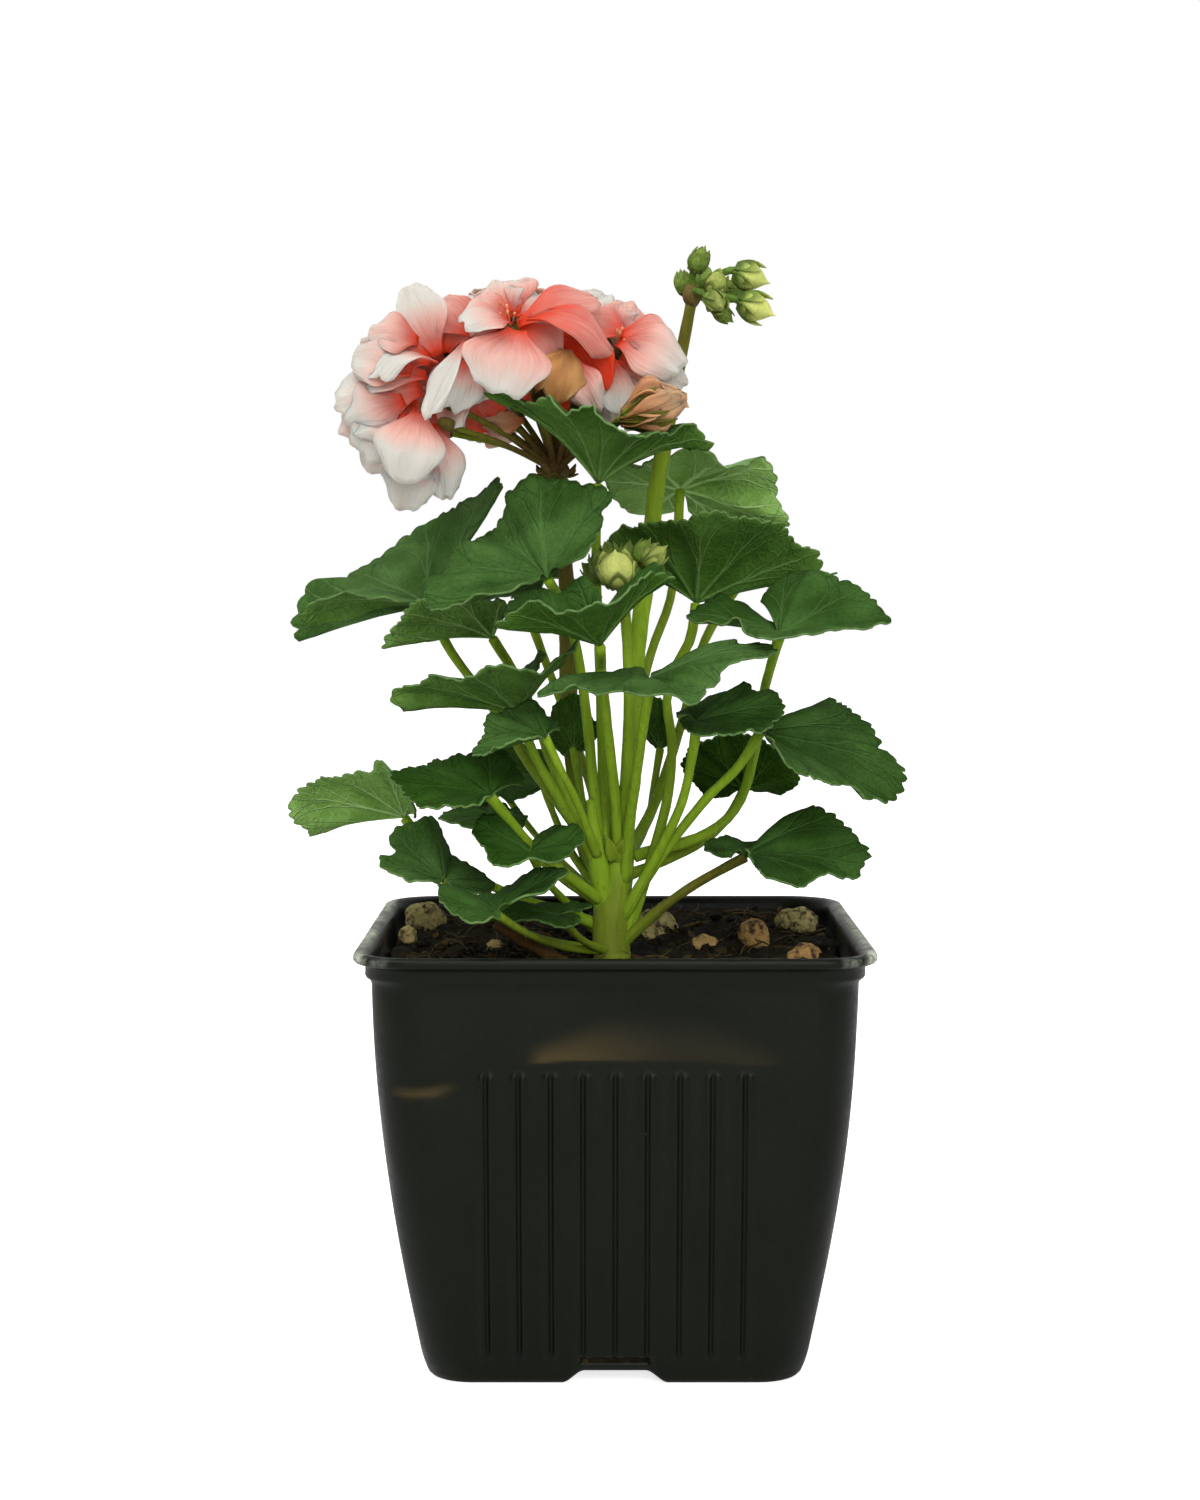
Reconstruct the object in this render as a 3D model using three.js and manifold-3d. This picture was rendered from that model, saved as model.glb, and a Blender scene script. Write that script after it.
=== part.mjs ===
// A young zonal geranium in a square black nursery pot, in millimetres, +Z up, front towards -Y.
// The pot holds a fill of potting mix with clay granules in it. One green stem stands in a hole
// in the mix and carries the leaf stalks, two bud stalks and one brown flower stalk. Each leaf
// blade sits on its own stalk, and the open head is a dome of florets on thin stalks.
import * as THREE from 'three';
import { mergeVertices } from 'three/addons/utils/BufferGeometryUtils.js';
import Module from 'manifold-3d';

const wasm = await Module();
wasm.setup();

// Driving dimensions
const GAP = 0.3;
const CUT = 0.45;

const POT = {
  height: 89,
  rimHalf: 52.5,
  rimCorner: 12,
  lipHeight: 1.2,
  collarHalf: 50.2,
  collarCorner: 11,
  collarDrop: 5.5,
  shoulderHalf: 49.0,
  baseHalf: 38.9,
  baseCorner: 9,
  bulge: 2.6,
  wall: 1.1,
  floor: 1.6,
  footHeight: 2.6,
  channelWidth: 15.5,
  drainWidth: 13.5,
  drainHeight: 2.2,
};

const RIB = { count: 9, pitch: 6.45, width: 1.5, proud: 0.55, low: 5.5, high: 65 };

const SOIL = { front: 82.2, back: 86.3, lump: 0.7, hollow: 1.0, cells: 7 };

const BLADE = { thickness: 0.8, dome: 0.1, tooth: 0.02, shoulderTurn: 0.3, shoulderReach: 0.66 };

const PETAL = { thickness: 0.7 };

const COLOUR = {
  pot: 0x1c1e1a,
  soil: 0x2c2018,
  granule: 0xa98a62,
  stem: 0x6f8f2c,
  stalk: 0x5b4a26,
  leaf: 0x2f5a2a,
  petal: 0xe9a79b,
  bud: 0x6f8f35,
};

// The front view
// Places on the plant are read off one front view, as a column, a row and a depth. The depth is
// the distance in millimetres behind the pot's middle, and the eye's place gives the rest.
const EYE = new THREE.Vector3(-3.06, -568.4, 164.1);
const VIEW = { focal: 2654, column: 600, row: 750, pitch: THREE.MathUtils.degToRad(3.763) };

function sightLine(column, row) {
  const across = (column - VIEW.column) / VIEW.focal;
  const up = (VIEW.row - row) / VIEW.focal;
  return new THREE.Vector3(
    across,
    Math.cos(VIEW.pitch) + up * Math.sin(VIEW.pitch),
    up * Math.cos(VIEW.pitch) - Math.sin(VIEW.pitch),
  ).normalize();
}

function place([column, row, depth]) {
  const line = sightLine(column, row);
  return EYE.clone().addScaledVector(line, (depth - EYE.y) / line.y);
}

// The point on the sight line of a column and row that lies `reach` from a centre: on the near
// side for side -1, on the far side for +1, and between them for what lies between.
function placeAtReach(centre, reach, [column, row, side]) {
  const line = sightLine(column, row);
  const along = centre.clone().sub(EYE).dot(line);
  const nearest = EYE.clone().addScaledVector(line, along);
  const miss = nearest.distanceTo(centre);
  return nearest.addScaledVector(line, side * Math.sqrt(Math.max(0, reach * reach - miss * miss)));
}

// Solids
function geometryOf(points, faces) {
  const geometry = new THREE.BufferGeometry();
  const numbers = points.flatMap((p) => [p.x, p.y, p.z]);
  geometry.setAttribute('position', new THREE.Float32BufferAttribute(numbers, 3));
  geometry.setIndex(faces.flat());
  return geometry;
}

function solidOf(geometry) {
  const bare = geometry.clone();
  for (const name of Object.keys(bare.attributes)) if (name !== 'position') bare.deleteAttribute(name);
  const merged = mergeVertices(bare, 1e-4);
  return new wasm.Manifold(
    new wasm.Mesh({
      numProp: 3,
      vertProperties: new Float32Array(merged.attributes.position.array),
      triVerts: new Uint32Array(merged.index.array),
    }),
  );
}

function geometryOfSolid(solid) {
  const mesh = solid.getMesh();
  const geometry = new THREE.BufferGeometry();
  geometry.setAttribute('position', new THREE.BufferAttribute(new Float32Array(mesh.vertProperties), 3));
  geometry.setIndex(new THREE.BufferAttribute(new Uint32Array(mesh.triVerts), 1));
  return geometry;
}

function joined(solids) {
  return solids.reduce((whole, piece) => whole.add(piece));
}

// The largest body of a solid that a cut has left in pieces.
function mainBody(solid) {
  return solid.decompose().reduce((best, body) => (body.volume() > best.volume() ? body : best));
}

// Drops the slivers that a union leaves behind.
function lightened(solid, tolerance = 0.04) {
  return mainBody(solid.simplify(tolerance));
}

function meshOf(name, solid, colour, roughness) {
  const geometry = geometryOfSolid(solid);
  geometry.computeVertexNormals();
  const material = new THREE.MeshStandardMaterial({ color: colour, roughness, metalness: 0 });
  const mesh = new THREE.Mesh(geometry, material);
  mesh.name = name;
  return mesh;
}

// A closed solid through a stack of rings with equal point counts.
function loft(rings) {
  const count = rings[0].length;
  const points = rings.flat();
  const faces = [];
  for (let i = 0; i + 1 < rings.length; i++)
    for (let j = 0; j < count; j++) {
      const a = i * count + j;
      const b = i * count + ((j + 1) % count);
      faces.push([a, b, b + count], [a, b + count, a + count]);
    }
  const last = (rings.length - 1) * count;
  for (let j = 1; j + 1 < count; j++) {
    faces.push([0, j + 1, j]);
    faces.push([last, last + j, last + j + 1]);
  }
  return solidOf(geometryOf(points, faces));
}

// A round stem along a smooth curve through points, with its radius eased between given values.
function stemSolid(points, radii, sides = 6, steps = 7) {
  const curve = new THREE.CatmullRomCurve3(points, false, 'centripetal');
  const frames = curve.computeFrenetFrames(steps, false);
  const rings = [];
  for (let i = 0; i <= steps; i++) {
    const share = i / steps;
    const spot = share * (radii.length - 1);
    const low = Math.min(Math.floor(spot), radii.length - 2);
    const radius = THREE.MathUtils.lerp(radii[low], radii[low + 1], spot - low);
    const centre = curve.getPointAt(share);
    const ring = [];
    for (let j = 0; j < sides; j++) {
      const turn = (2 * Math.PI * j) / sides;
      ring.push(
        centre
          .clone()
          .addScaledVector(frames.normals[i], radius * Math.cos(turn))
          .addScaledVector(frames.binormals[i], radius * Math.sin(turn)),
      );
    }
    rings.push(ring);
  }
  return loft(rings);
}

// A plump spindle from a root to a tip, such as a bud or a green cup.
function spindleSolid(root, tip, profile, sides = 6) {
  const axis = tip.clone().sub(root);
  const length = axis.length();
  const turn = new THREE.Quaternion().setFromUnitVectors(new THREE.Vector3(0, 1, 0), axis.normalize());
  const outline = profile.map(([radius, share]) => new THREE.Vector2(radius, share * length));
  const geometry = new THREE.LatheGeometry(outline, sides);
  geometry.applyQuaternion(turn);
  geometry.translate(root.x, root.y, root.z);
  return solidOf(geometry);
}

// The pot
function squareRing(half, corner, height, perCorner = 2) {
  const ring = [];
  for (let quarter = 0; quarter < 4; quarter++) {
    const middle = (Math.PI / 2) * quarter + Math.PI / 4;
    const centre = (half - corner) * Math.SQRT2;
    for (let i = 0; i <= perCorner; i++) {
      const turn = middle - Math.PI / 4 + (Math.PI / 2) * (i / perCorner);
      ring.push(
        new THREE.Vector3(
          centre * Math.cos(middle) + corner * Math.cos(turn),
          centre * Math.sin(middle) + corner * Math.sin(turn),
          height,
        ),
      );
    }
  }
  return ring;
}

// The wall tapers from shoulder to base and bellies out a little on the way.
function wallHalf(height) {
  const share = THREE.MathUtils.clamp(height / (POT.height - POT.collarDrop), 0, 1);
  const belly = POT.bulge * Math.sin(Math.PI * share) * (0.6 + 0.4 * share);
  return THREE.MathUtils.lerp(POT.baseHalf, POT.shoulderHalf, share) + belly;
}

function wallCorner(height) {
  return THREE.MathUtils.lerp(POT.baseCorner, POT.collarCorner, height / POT.height);
}

function outerRings() {
  const rings = [squareRing(POT.baseHalf - 2.2, POT.baseCorner - 1, 0)];
  rings.push(squareRing(POT.baseHalf - 0.5, POT.baseCorner, 1.4));
  for (const height of [6, 28, 52, 70, POT.height - POT.collarDrop - 1])
    rings.push(squareRing(wallHalf(height), wallCorner(height), height));
  rings.push(squareRing(POT.collarHalf, POT.collarCorner, POT.height - POT.collarDrop + 1));
  rings.push(squareRing(POT.collarHalf, POT.collarCorner, POT.height - POT.lipHeight - 1.6));
  rings.push(squareRing(POT.rimHalf, POT.rimCorner, POT.height - POT.lipHeight));
  rings.push(squareRing(POT.rimHalf - 0.5, POT.rimCorner, POT.height));
  return rings;
}

function ribSolid(side, index) {
  const across = (index - (RIB.count - 1) / 2) * RIB.pitch;
  const foot = wallHalf(RIB.low);
  const middle = wallHalf((RIB.low + RIB.high) / 2);
  const head = wallHalf(RIB.high);
  const section = (out, height, width) => [
    new THREE.Vector3(across - width / 2, -out + 0.5, height),
    new THREE.Vector3(across, -out - RIB.proud, height),
    new THREE.Vector3(across + width / 2, -out + 0.5, height),
  ];
  const rib = loft([
    section(foot, RIB.low, RIB.width),
    section(middle, (RIB.low + RIB.high) / 2, RIB.width),
    section(head, RIB.high, RIB.width),
  ]);
  return rib.rotate([0, 0, 90 * side]);
}

function boxSolid(width, depth, height, centre) {
  const geometry = new THREE.BoxGeometry(width, depth, height);
  geometry.translate(centre.x, centre.y, centre.z);
  return solidOf(geometry);
}

function potSolid() {
  const ribs = [];
  for (let side = 0; side < 4; side++) for (let i = 0; i < RIB.count; i++) ribs.push(ribSolid(side, i));
  const floorTop = POT.footHeight + POT.floor;
  const innerRings = [squareRing(wallHalf(floorTop) - POT.wall, POT.baseCorner - POT.wall, floorTop)];
  for (const height of [28, 52, 70, POT.height - POT.collarDrop])
    innerRings.push(squareRing(wallHalf(height) - POT.wall, wallCorner(height) - POT.wall, height));
  innerRings.push(squareRing(POT.collarHalf - POT.wall, POT.collarCorner - POT.wall, POT.height + 1));
  const channel = (turned) =>
    boxSolid(
      turned ? 2 * POT.rimHalf : POT.channelWidth,
      turned ? POT.channelWidth : 2 * POT.rimHalf,
      2 * POT.footHeight,
      new THREE.Vector3(0, 0, 0),
    );
  const drain = (turned) => {
    const height = POT.footHeight + POT.floor + POT.drainHeight / 2;
    return boxSolid(
      turned ? 2 * POT.rimHalf : POT.drainWidth,
      turned ? POT.drainWidth : 2 * POT.rimHalf,
      POT.drainHeight,
      new THREE.Vector3(0, 0, height),
    );
  };
  return joined([loft(outerRings()), ...ribs])
    .subtract(loft(innerRings))
    .subtract(channel(false))
    .subtract(channel(true))
    .subtract(drain(false))
    .subtract(drain(true));
}

// The potting mix
function soilHeight(x, y) {
  const slope = THREE.MathUtils.lerp(SOIL.front, SOIL.back, THREE.MathUtils.clamp(y / 96 + 0.5, 0, 1));
  const lumps = Math.sin(x * 0.31 + 0.4) * Math.cos(y * 0.27 - 0.8) + 0.6 * Math.sin(x * 0.57 - y * 0.43);
  const hollow = Math.exp(-((x - STEM.foot.x) ** 2 + (y - STEM.foot.y) ** 2) / 300);
  return slope + SOIL.lump * lumps - SOIL.hollow * hollow;
}

// Half the side of the mix's square at a height, a gap inside the pot's wall.
function soilHalf(height) {
  return wallHalf(height) - POT.wall - GAP;
}

function soilSolid() {
  const cells = SOIL.cells;
  const top = [];
  const half = soilHalf(SOIL.front);
  for (let i = 0; i <= cells; i++)
    for (let j = 0; j <= cells; j++) {
      const u = (2 * i) / cells - 1;
      const v = (2 * j) / cells - 1;
      const rounding = 1 - 0.115 * u * u * v * v;
      const x = half * u * rounding;
      const y = half * v * rounding;
      top.push(new THREE.Vector3(x, y, soilHeight(x, y)));
    }
  const edge = [];
  for (let k = 0; k < cells; k++) edge.push(k * (cells + 1));
  for (let k = 0; k < cells; k++) edge.push(cells * (cells + 1) + k);
  for (let k = cells; k > 0; k--) edge.push(k * (cells + 1) + cells);
  for (let k = cells; k > 0; k--) edge.push(k);
  const points = [...top];
  const faces = [];
  for (let i = 0; i < cells; i++)
    for (let j = 0; j < cells; j++) {
      const a = i * (cells + 1) + j;
      const b = a + cells + 1;
      faces.push([a, b, b + 1], [a, b + 1, a + 1]);
    }
  const levels = [42, POT.footHeight + POT.floor + GAP];
  let above = edge;
  for (const level of levels) {
    const shrink = soilHalf(level) / half;
    const ring = edge.map((index) => {
      const p = top[index];
      points.push(new THREE.Vector3(p.x * shrink, p.y * shrink, level));
      return points.length - 1;
    });
    for (let k = 0; k < ring.length; k++) {
      const next = (k + 1) % ring.length;
      faces.push([above[k], ring[k], ring[next]], [above[k], ring[next], above[next]]);
    }
    above = ring;
  }
  for (let k = 1; k + 1 < above.length; k++) faces.push([above[0], above[k + 1], above[k]]);
  return solidOf(geometryOf(points, faces));
}

// Clay granules
const GRANULES = [
  { name: 'granule_back_left', spot: [424, 918, 26], size: [5.2, 4.2, 4.6], turn: 0.5 },
  { name: 'granule_left', spot: [408, 938, 8], size: [2.8, 2.6, 2.4], turn: 1.4 },
  { name: 'granule_front_left', spot: [495, 944, 0], size: [2.6, 2.2, 2.0], turn: 2.1 },
  { name: 'granule_by_stem', spot: [655, 922, 16], size: [5.6, 4.6, 4.6], turn: 0.9 },
  { name: 'granule_middle', spot: [704, 941, 2], size: [3.0, 2.4, 2.1], turn: 0.2 },
  { name: 'granule_tall', spot: [753, 936, 4], size: [3.9, 3.6, 4.7], turn: 1.9 },
  { name: 'granule_right', spot: [797, 922, 22], size: [5.4, 4.2, 3.4], turn: 0.1 },
  { name: 'granule_front_right', spot: [805, 957, -14], size: [4.2, 3.0, 2.8], turn: 0.7 },
];

function granuleSolid({ spot, size, turn }, grow = 0) {
  const centre = place(spot);
  centre.z = soilHeight(centre.x, centre.y) + 0.25 * size[2];
  const geometry = new THREE.DodecahedronGeometry(1, 0);
  const position = geometry.attributes.position;
  const p = new THREE.Vector3();
  for (let i = 0; i < position.count; i++) {
    p.fromBufferAttribute(position, i);
    const dent = 0.13 * Math.sin(3.1 * p.x + turn * 5) * Math.cos(2.7 * p.y - turn * 3);
    p.multiplyScalar(1 + dent + 0.08 * Math.sin(5 * p.z + turn));
    p.set(p.x * (size[0] + grow), p.y * (size[1] + grow), p.z * (size[2] + grow));
    p.applyAxisAngle(new THREE.Vector3(0, 0, 1), turn);
    position.setXYZ(i, p.x, p.y, p.z);
  }
  geometry.translate(centre.x, centre.y, centre.z);
  return solidOf(geometry);
}

// Stem and stalks
const STEM = {
  foot: place([612, 962, -10]),
  depthInSoil: 26,
  holeRadius: 5.0,
};

// Green shoots: points of the front view, and radii from foot to tip.
const SHOOTS = [
  { path: [[612, 962, -10], [611, 925, -9], [616, 880, -7], [622, 840, -6]], radii: [4.0, 3.9, 3.6, 3.1] },
  { path: [[606, 915, -8], [600, 875, -10], [594, 835, -11], [591, 800, -11]], radii: [2.6, 2.2, 1.6, 1] },
];

const BUD_STALK_TALL = {
  path: [
    [622, 850, -5], [630, 770, 2], [638, 640, 9], [649, 560, 15], [656, 490, 17], [668, 425, 15],
    [683, 345, 12], [691, 303, 9],
  ],
  radii: [2.1, 1.9, 1.8, 1.9, 1.9, 1.8, 1.5, 1.2],
};
const BUD_STALK_CENTRE = {
  path: [[622, 850, -7], [627, 770, -13], [629, 700, -15], [627, 640, -15], [624, 592, -13]],
  radii: [2.0, 1.4, 1.2, 1.1, 1.1],
};

// Leaves
// A blade is set out from the foot of its veins. Its lobes run anticlockwise seen from above,
// from one side of the cleft to the other, each a column, a row and a side.
const LEAVES = [
  {
    name: 'leaf_crown',
    foot: [598, 484, -13],
    reach: 27,
    dome: 0.42,
    lobes: [
      [552, 418, 0.4], [518, 408, 0.3], [485, 396, 0], [499, 394, -0.2], [527, 403, -0.45],
      [550, 397, -0.6], [566, 407, -0.75], [593, 403, -0.85], [606, 424, -0.9], [629, 436, -0.85],
      [651, 431, -0.7], [673, 434, -0.5], [694, 429, -0.25], [710, 449, 0], [672, 446, 0.3],
      [645, 446, 0.45],
    ],
    stalk: [[598, 492, -13], [596, 540, -7], [598, 620, -2], [603, 760, -4], [606, 850, -8]],
  },
  {
    name: 'leaf_back_high',
    foot: [680, 490, 40],
    reach: 26,
    dome: 0.15,
    lobes: [
      [662, 517, 0.7], [630, 511, 0.5], [612, 499, 0.3], [605, 477, 0], [624, 466, -0.35],
      [650, 463, -0.6], [699, 451, -0.8], [722, 466, -0.8], [748, 467, -0.7], [764, 460, -0.5],
      [776, 474, -0.25], [780, 496, 0], [790, 523, 0.2], [755, 532, 0.6], [714, 528, 0.8],
    ],
    stalk: [
      [679, 500, 39], [677, 545, 33], [670, 600, 27], [652, 650, 21], [635, 720, 13], [628, 800, 4],
      [624, 850, -4],
    ],
  },
  {
    name: 'leaf_left_broad',
    foot: [548, 579, -24],
    reach: 27,
    dome: 0.12,
    lobes: [
      [583, 556, -0.4], [601, 534, 0], [606, 518, 0.1], [603, 507, 0.2], [612, 497, 0.3],
      [600, 485, 0.45], [581, 482, 0.6], [554, 477, 0.75], [532, 474, 0.8], [516, 493, 0.8],
      [504, 516, 0.75], [484, 536, 0.55], [459, 543, 0.4], [446, 567, 0.2], [421, 585, 0.05],
      [422, 606, 0], [443, 611, -0.2], [484, 598, -0.5], [512, 589, -0.75],
    ],
    stalk: [[549, 585, -24], [561, 603, -14], [576, 645, -6], [587, 720, -7], [598, 840, -9]],
  },
  {
    name: 'leaf_far_left',
    foot: [430, 606, 20],
    reach: 30,
    dome: 0.12,
    lobes: [
      [453, 548, 0.5], [503, 482, 0.25], [472, 498, 0.45], [437, 519, 0.6], [400, 539, 0.6],
      [367, 561, 0.5], [341, 577, 0.4], [309, 580, 0.25], [301, 594, 0.1], [295, 647, 0],
      [300, 614, -0.25], [334, 592, -0.5], [368, 594, -0.65], [405, 603, -0.8],
    ],
    stalk: [
      [432, 614, 20], [447, 645, 19], [474, 683, 14], [505, 725, 8], [530, 765, -2], [560, 805, -8],
      [597, 857, -9],
    ],
  },
  {
    name: 'leaf_left_under',
    foot: [493, 638, 2],
    reach: 24,
    dome: 0.15,
    lobes: [
      [505, 603, 0.7], [460, 605, 0.8], [433, 640, 0.5], [408, 634, 0.3], [383, 646, 0],
      [387, 633, -0.2], [400, 620, -0.4], [420, 603, -0.6], [455, 596, -0.75], [502, 600, -0.8],
    ],
    stalk: [
      [496, 645, 2], [512, 669, 8], [526, 695, 8], [541, 733, 0], [554, 768, -9], [578, 820, -11],
      [600, 872, -10],
    ],
  },
  {
    name: 'leaf_centre_cup',
    foot: [600, 646, -34],
    reach: 23,
    dome: 0.2,
    lobes: [
      [584, 577, 0.5], [560, 592, 0.4], [529, 588, 0.2], [517, 595, 0.15], [492, 633, 0],
      [513, 610, -0.35], [540, 606, -0.65], [565, 613, -0.8], [590, 606, -0.9], [613, 602, -0.85],
      [634, 588, -0.65], [652, 575, -0.35], [674, 577, 0], [661, 564, 0.3], [644, 567, 0.5],
      [628, 580, 0.7],
    ],
    stalk: [[600, 654, -34], [602, 676, -25], [609, 740, -19], [616, 810, -12], [619, 860, -9]],
  },
  {
    name: 'leaf_right_cup',
    foot: [696, 603, 4],
    reach: 29,
    dome: 0.12,
    lobes: [
      [606, 540, 0], [617, 525, -0.2], [640, 526, -0.45], [665, 521, -0.65], [697, 521, -0.85],
      [715, 511, -0.9], [735, 515, -0.85], [760, 518, -0.75], [782, 527, -0.6], [800, 542, -0.4],
      [817, 553, -0.2], [822, 568, -0.05], [841, 580, 0], [800, 575, 0.6], [765, 575, 0.85],
    ],
    stalk: [
      [696, 611, 4], [690, 640, 2], [675, 668, 0], [667, 700, -2], [672, 745, -5], [667, 800, -8],
      [645, 880, -9], [626, 935, -10],
    ],
  },
  {
    name: 'leaf_right_high',
    foot: [779, 637, -18],
    reach: 25,
    dome: 0.12,
    lobes: [
      [758, 617, 0.75], [735, 602, 0.65], [708, 600, 0.4], [692, 609, 0.1], [690, 621, -0.1],
      [715, 625, -0.4], [738, 622, -0.6], [743, 632, -0.8], [765, 638, -0.95], [786, 638, -0.95],
      [804, 633, -0.85], [828, 633, -0.7], [858, 632, -0.45], [880, 626, -0.2], [896, 622, 0],
      [878, 603, 0.3], [858, 587, 0.5], [828, 580, 0.65], [815, 570, 0.7], [797, 573, 0.75],
      [776, 583, 0.8],
    ],
    stalk: [
      [778, 645, -18], [771, 665, -11], [764, 692, -3], [757, 740, 4], [738, 805, 3], [704, 835, -2],
      [635, 856, -6],
    ],
  },
  {
    name: 'leaf_front',
    foot: [650, 679, -36],
    reach: 25,
    dome: 0.12,
    lobes: [
      [628, 674, 0.3], [600, 677, 0.3], [573, 678, 0.2], [547, 687, 0.1], [538, 699, 0],
      [573, 690, -0.4], [590, 695, -0.6], [603, 694, -0.7], [624, 686, -0.85], [638, 695, -0.95],
      [665, 695, -0.95], [688, 703, -0.9], [703, 698, -0.8], [709, 687, -0.75], [720, 684, -0.7],
      [724, 667, -0.6], [741, 661, -0.45], [758, 662, -0.25], [779, 649, 0], [755, 643, 0.3],
      [730, 641, 0.5], [706, 652, 0.65], [682, 665, 0.75],
    ],
    stalk: [[649, 687, -36], [645, 715, -32], [638, 765, -22], [629, 830, -12], [625, 880, -9]],
  },
  {
    name: 'leaf_left_mid',
    foot: [519, 713, -14],
    reach: 26,
    dome: 0.1,
    lobes: [
      [545, 652, 0.6], [520, 668, 0.75], [460, 690, 0.6], [401, 709, 0.15], [386, 692, 0],
      [403, 687, -0.2], [436, 679, -0.5], [470, 677, -0.7], [491, 667, -0.85], [508, 666, -0.9],
      [525, 672, -0.85], [551, 667, -0.55], [580, 643, 0],
    ],
    stalk: [[521, 720, -14], [532, 750, -13], [560, 800, -12], [597, 860, -10]],
  },
  {
    name: 'leaf_middle',
    foot: [546, 737, -32],
    reach: 17,
    lobes: [
      [557, 723, 0.5], [545, 712, 0.6], [535, 702, 0.65], [515, 707, 0.65], [497, 713, 0.55],
      [484, 719, 0.4], [484, 736, 0.2], [471, 755, 0], [486, 756, -0.4], [503, 746, -0.65],
      [528, 740, -0.85],
    ],
    stalk: [[549, 743, -32], [560, 768, -28], [578, 805, -20], [597, 855, -12]],
    small: true,
  },
  {
    name: 'leaf_middle_back',
    foot: [574, 749, 3],
    reach: 13,
    lobes: [
      [558, 750, 0.2], [549, 737, 0.4], [549, 715, 0.6], [561, 699, 0.6], [577, 693, 0.5],
      [587, 699, 0.2], [589, 713, 0], [597, 729, -0.2], [588, 745, -0.5],
    ],
    stalk: [[575, 756, 1], [580, 790, -2], [598, 862, -9]],
    small: true,
  },
  {
    name: 'leaf_fan',
    foot: [541, 777, 20],
    reach: 16,
    lobes: [
      [528, 757, 0.7], [500, 757, 0.5], [474, 763, 0], [490, 750, -0.4], [510, 745, -0.7],
      [530, 748, -0.8], [546, 757, -0.7], [557, 783, -0.3],
    ],
    stalk: [[542, 783, 20], [555, 818, 13], [573, 855, 5], [600, 892, -5]],
    small: true,
  },
  {
    name: 'leaf_far_left_low',
    foot: [405, 817, 4],
    reach: 25,
    dome: 0.12,
    lobes: [
      [385, 805, 0.8], [363, 804, 0.7], [344, 820, 0.5], [328, 831, 0.35], [312, 834, 0.2],
      [303, 828, 0.1], [290, 820, 0.05], [286, 804, 0], [299, 790, -0.15], [325, 779, -0.3],
      [356, 774, -0.45], [372, 771, -0.55], [377, 762, -0.6], [390, 767, -0.65], [402, 777, -0.7],
      [411, 800, -0.75],
    ],
    stalk: [[407, 824, 4], [430, 850, 3], [500, 890, 0], [600, 925, -9]],
  },
  {
    name: 'leaf_left_low',
    foot: [491, 796, -24],
    reach: 24,
    dome: 0.12,
    lobes: [
      [522, 774, 0.6], [503, 754, 0.75], [480, 751, 0.8], [459, 754, 0.8], [440, 760, 0.7],
      [422, 771, 0.5], [405, 772, 0.3], [385, 777, 0], [402, 786, -0.2], [405, 796, -0.35],
      [415, 806, -0.5], [434, 810, -0.65], [452, 814, -0.75], [474, 806, -0.85],
    ],
    stalk: [[493, 803, -24], [513, 824, -20], [536, 850, -15], [600, 900, -10]],
  },
  {
    name: 'leaf_low_back',
    foot: [492, 817, 24],
    reach: 17,
    lobes: [
      [516, 832, -0.5], [528, 819, 0], [512, 807, 0.6], [490, 802, 0.8], [460, 807, 0.6],
      [439, 818, 0], [452, 827, -0.4], [474, 829, -0.7],
    ],
    stalk: [[497, 826, 26], [530, 852, 17], [575, 888, 2], [608, 908, -7]],
    small: true,
  },
  {
    name: 'leaf_low_saddle',
    foot: [530, 853, -34],
    reach: 16,
    lobes: [
      [516, 838, 0.5], [497, 817, 0.5], [477, 818, 0.2], [471, 835, 0], [487, 851, -0.4],
      [490, 862, -0.6], [507, 868, -0.8], [530, 862, -0.9], [549, 862, -0.8], [572, 852, -0.5],
      [585, 836, 0], [580, 826, 0.2], [567, 824, 0.4], [551, 830, 0.5],
    ],
    stalk: [[532, 860, -33], [548, 883, -20], [585, 920, -6], [606, 940, -8]],
    small: true,
  },
  {
    name: 'leaf_low_left',
    foot: [444, 881, -20],
    reach: 17,
    lobes: [
      [474, 897, -0.6], [497, 887, -0.2], [487, 877, 0.1], [470, 866, 0.4], [450, 855, 0.6],
      [443, 836, 0.7], [435, 820, 0.6], [417, 819, 0.4], [398, 828, 0.25], [388, 843, 0.15],
      [394, 853, 0], [378, 858, -0.1], [400, 876, -0.5], [422, 883, -0.8],
    ],
    stalk: [[448, 887, -20], [490, 915, -18], [545, 940, -15], [606, 950, -11]],
    small: true,
  },
  {
    name: 'leaf_low_front',
    foot: [497, 913, -42],
    reach: 18,
    lobes: [
      [530, 897, -0.5], [563, 879, -0.05], [568, 871, 0.1], [552, 867, 0.3], [529, 875, 0.5],
      [503, 890, 0.7], [470, 897, 0.6], [448, 888, 0.35], [436, 889, 0], [440, 901, -0.3],
      [455, 911, -0.5], [467, 920, -0.7], [484, 920, -0.9],
    ],
    stalk: [[500, 918, -42], [530, 935, -34], [570, 948, -21], [608, 950, -11]],
    small: true,
  },
  {
    name: 'leaf_low_centre',
    foot: [560, 916, -30],
    reach: 13,
    lobes: [
      [592, 906, 0], [574, 902, 0.5], [552, 903, 0.7], [529, 903, 0.5], [506, 907, 0.2], [495, 917, 0],
      [506, 923, -0.3], [546, 922, -0.7], [566, 929, -0.7], [581, 919, -0.4],
    ],
    stalk: [[563, 922, -30], [582, 940, -22], [608, 952, -11]],
    small: true,
  },
  {
    name: 'leaf_low_right',
    foot: [745, 856, -20],
    reach: 26,
    dome: 0.14,
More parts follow.
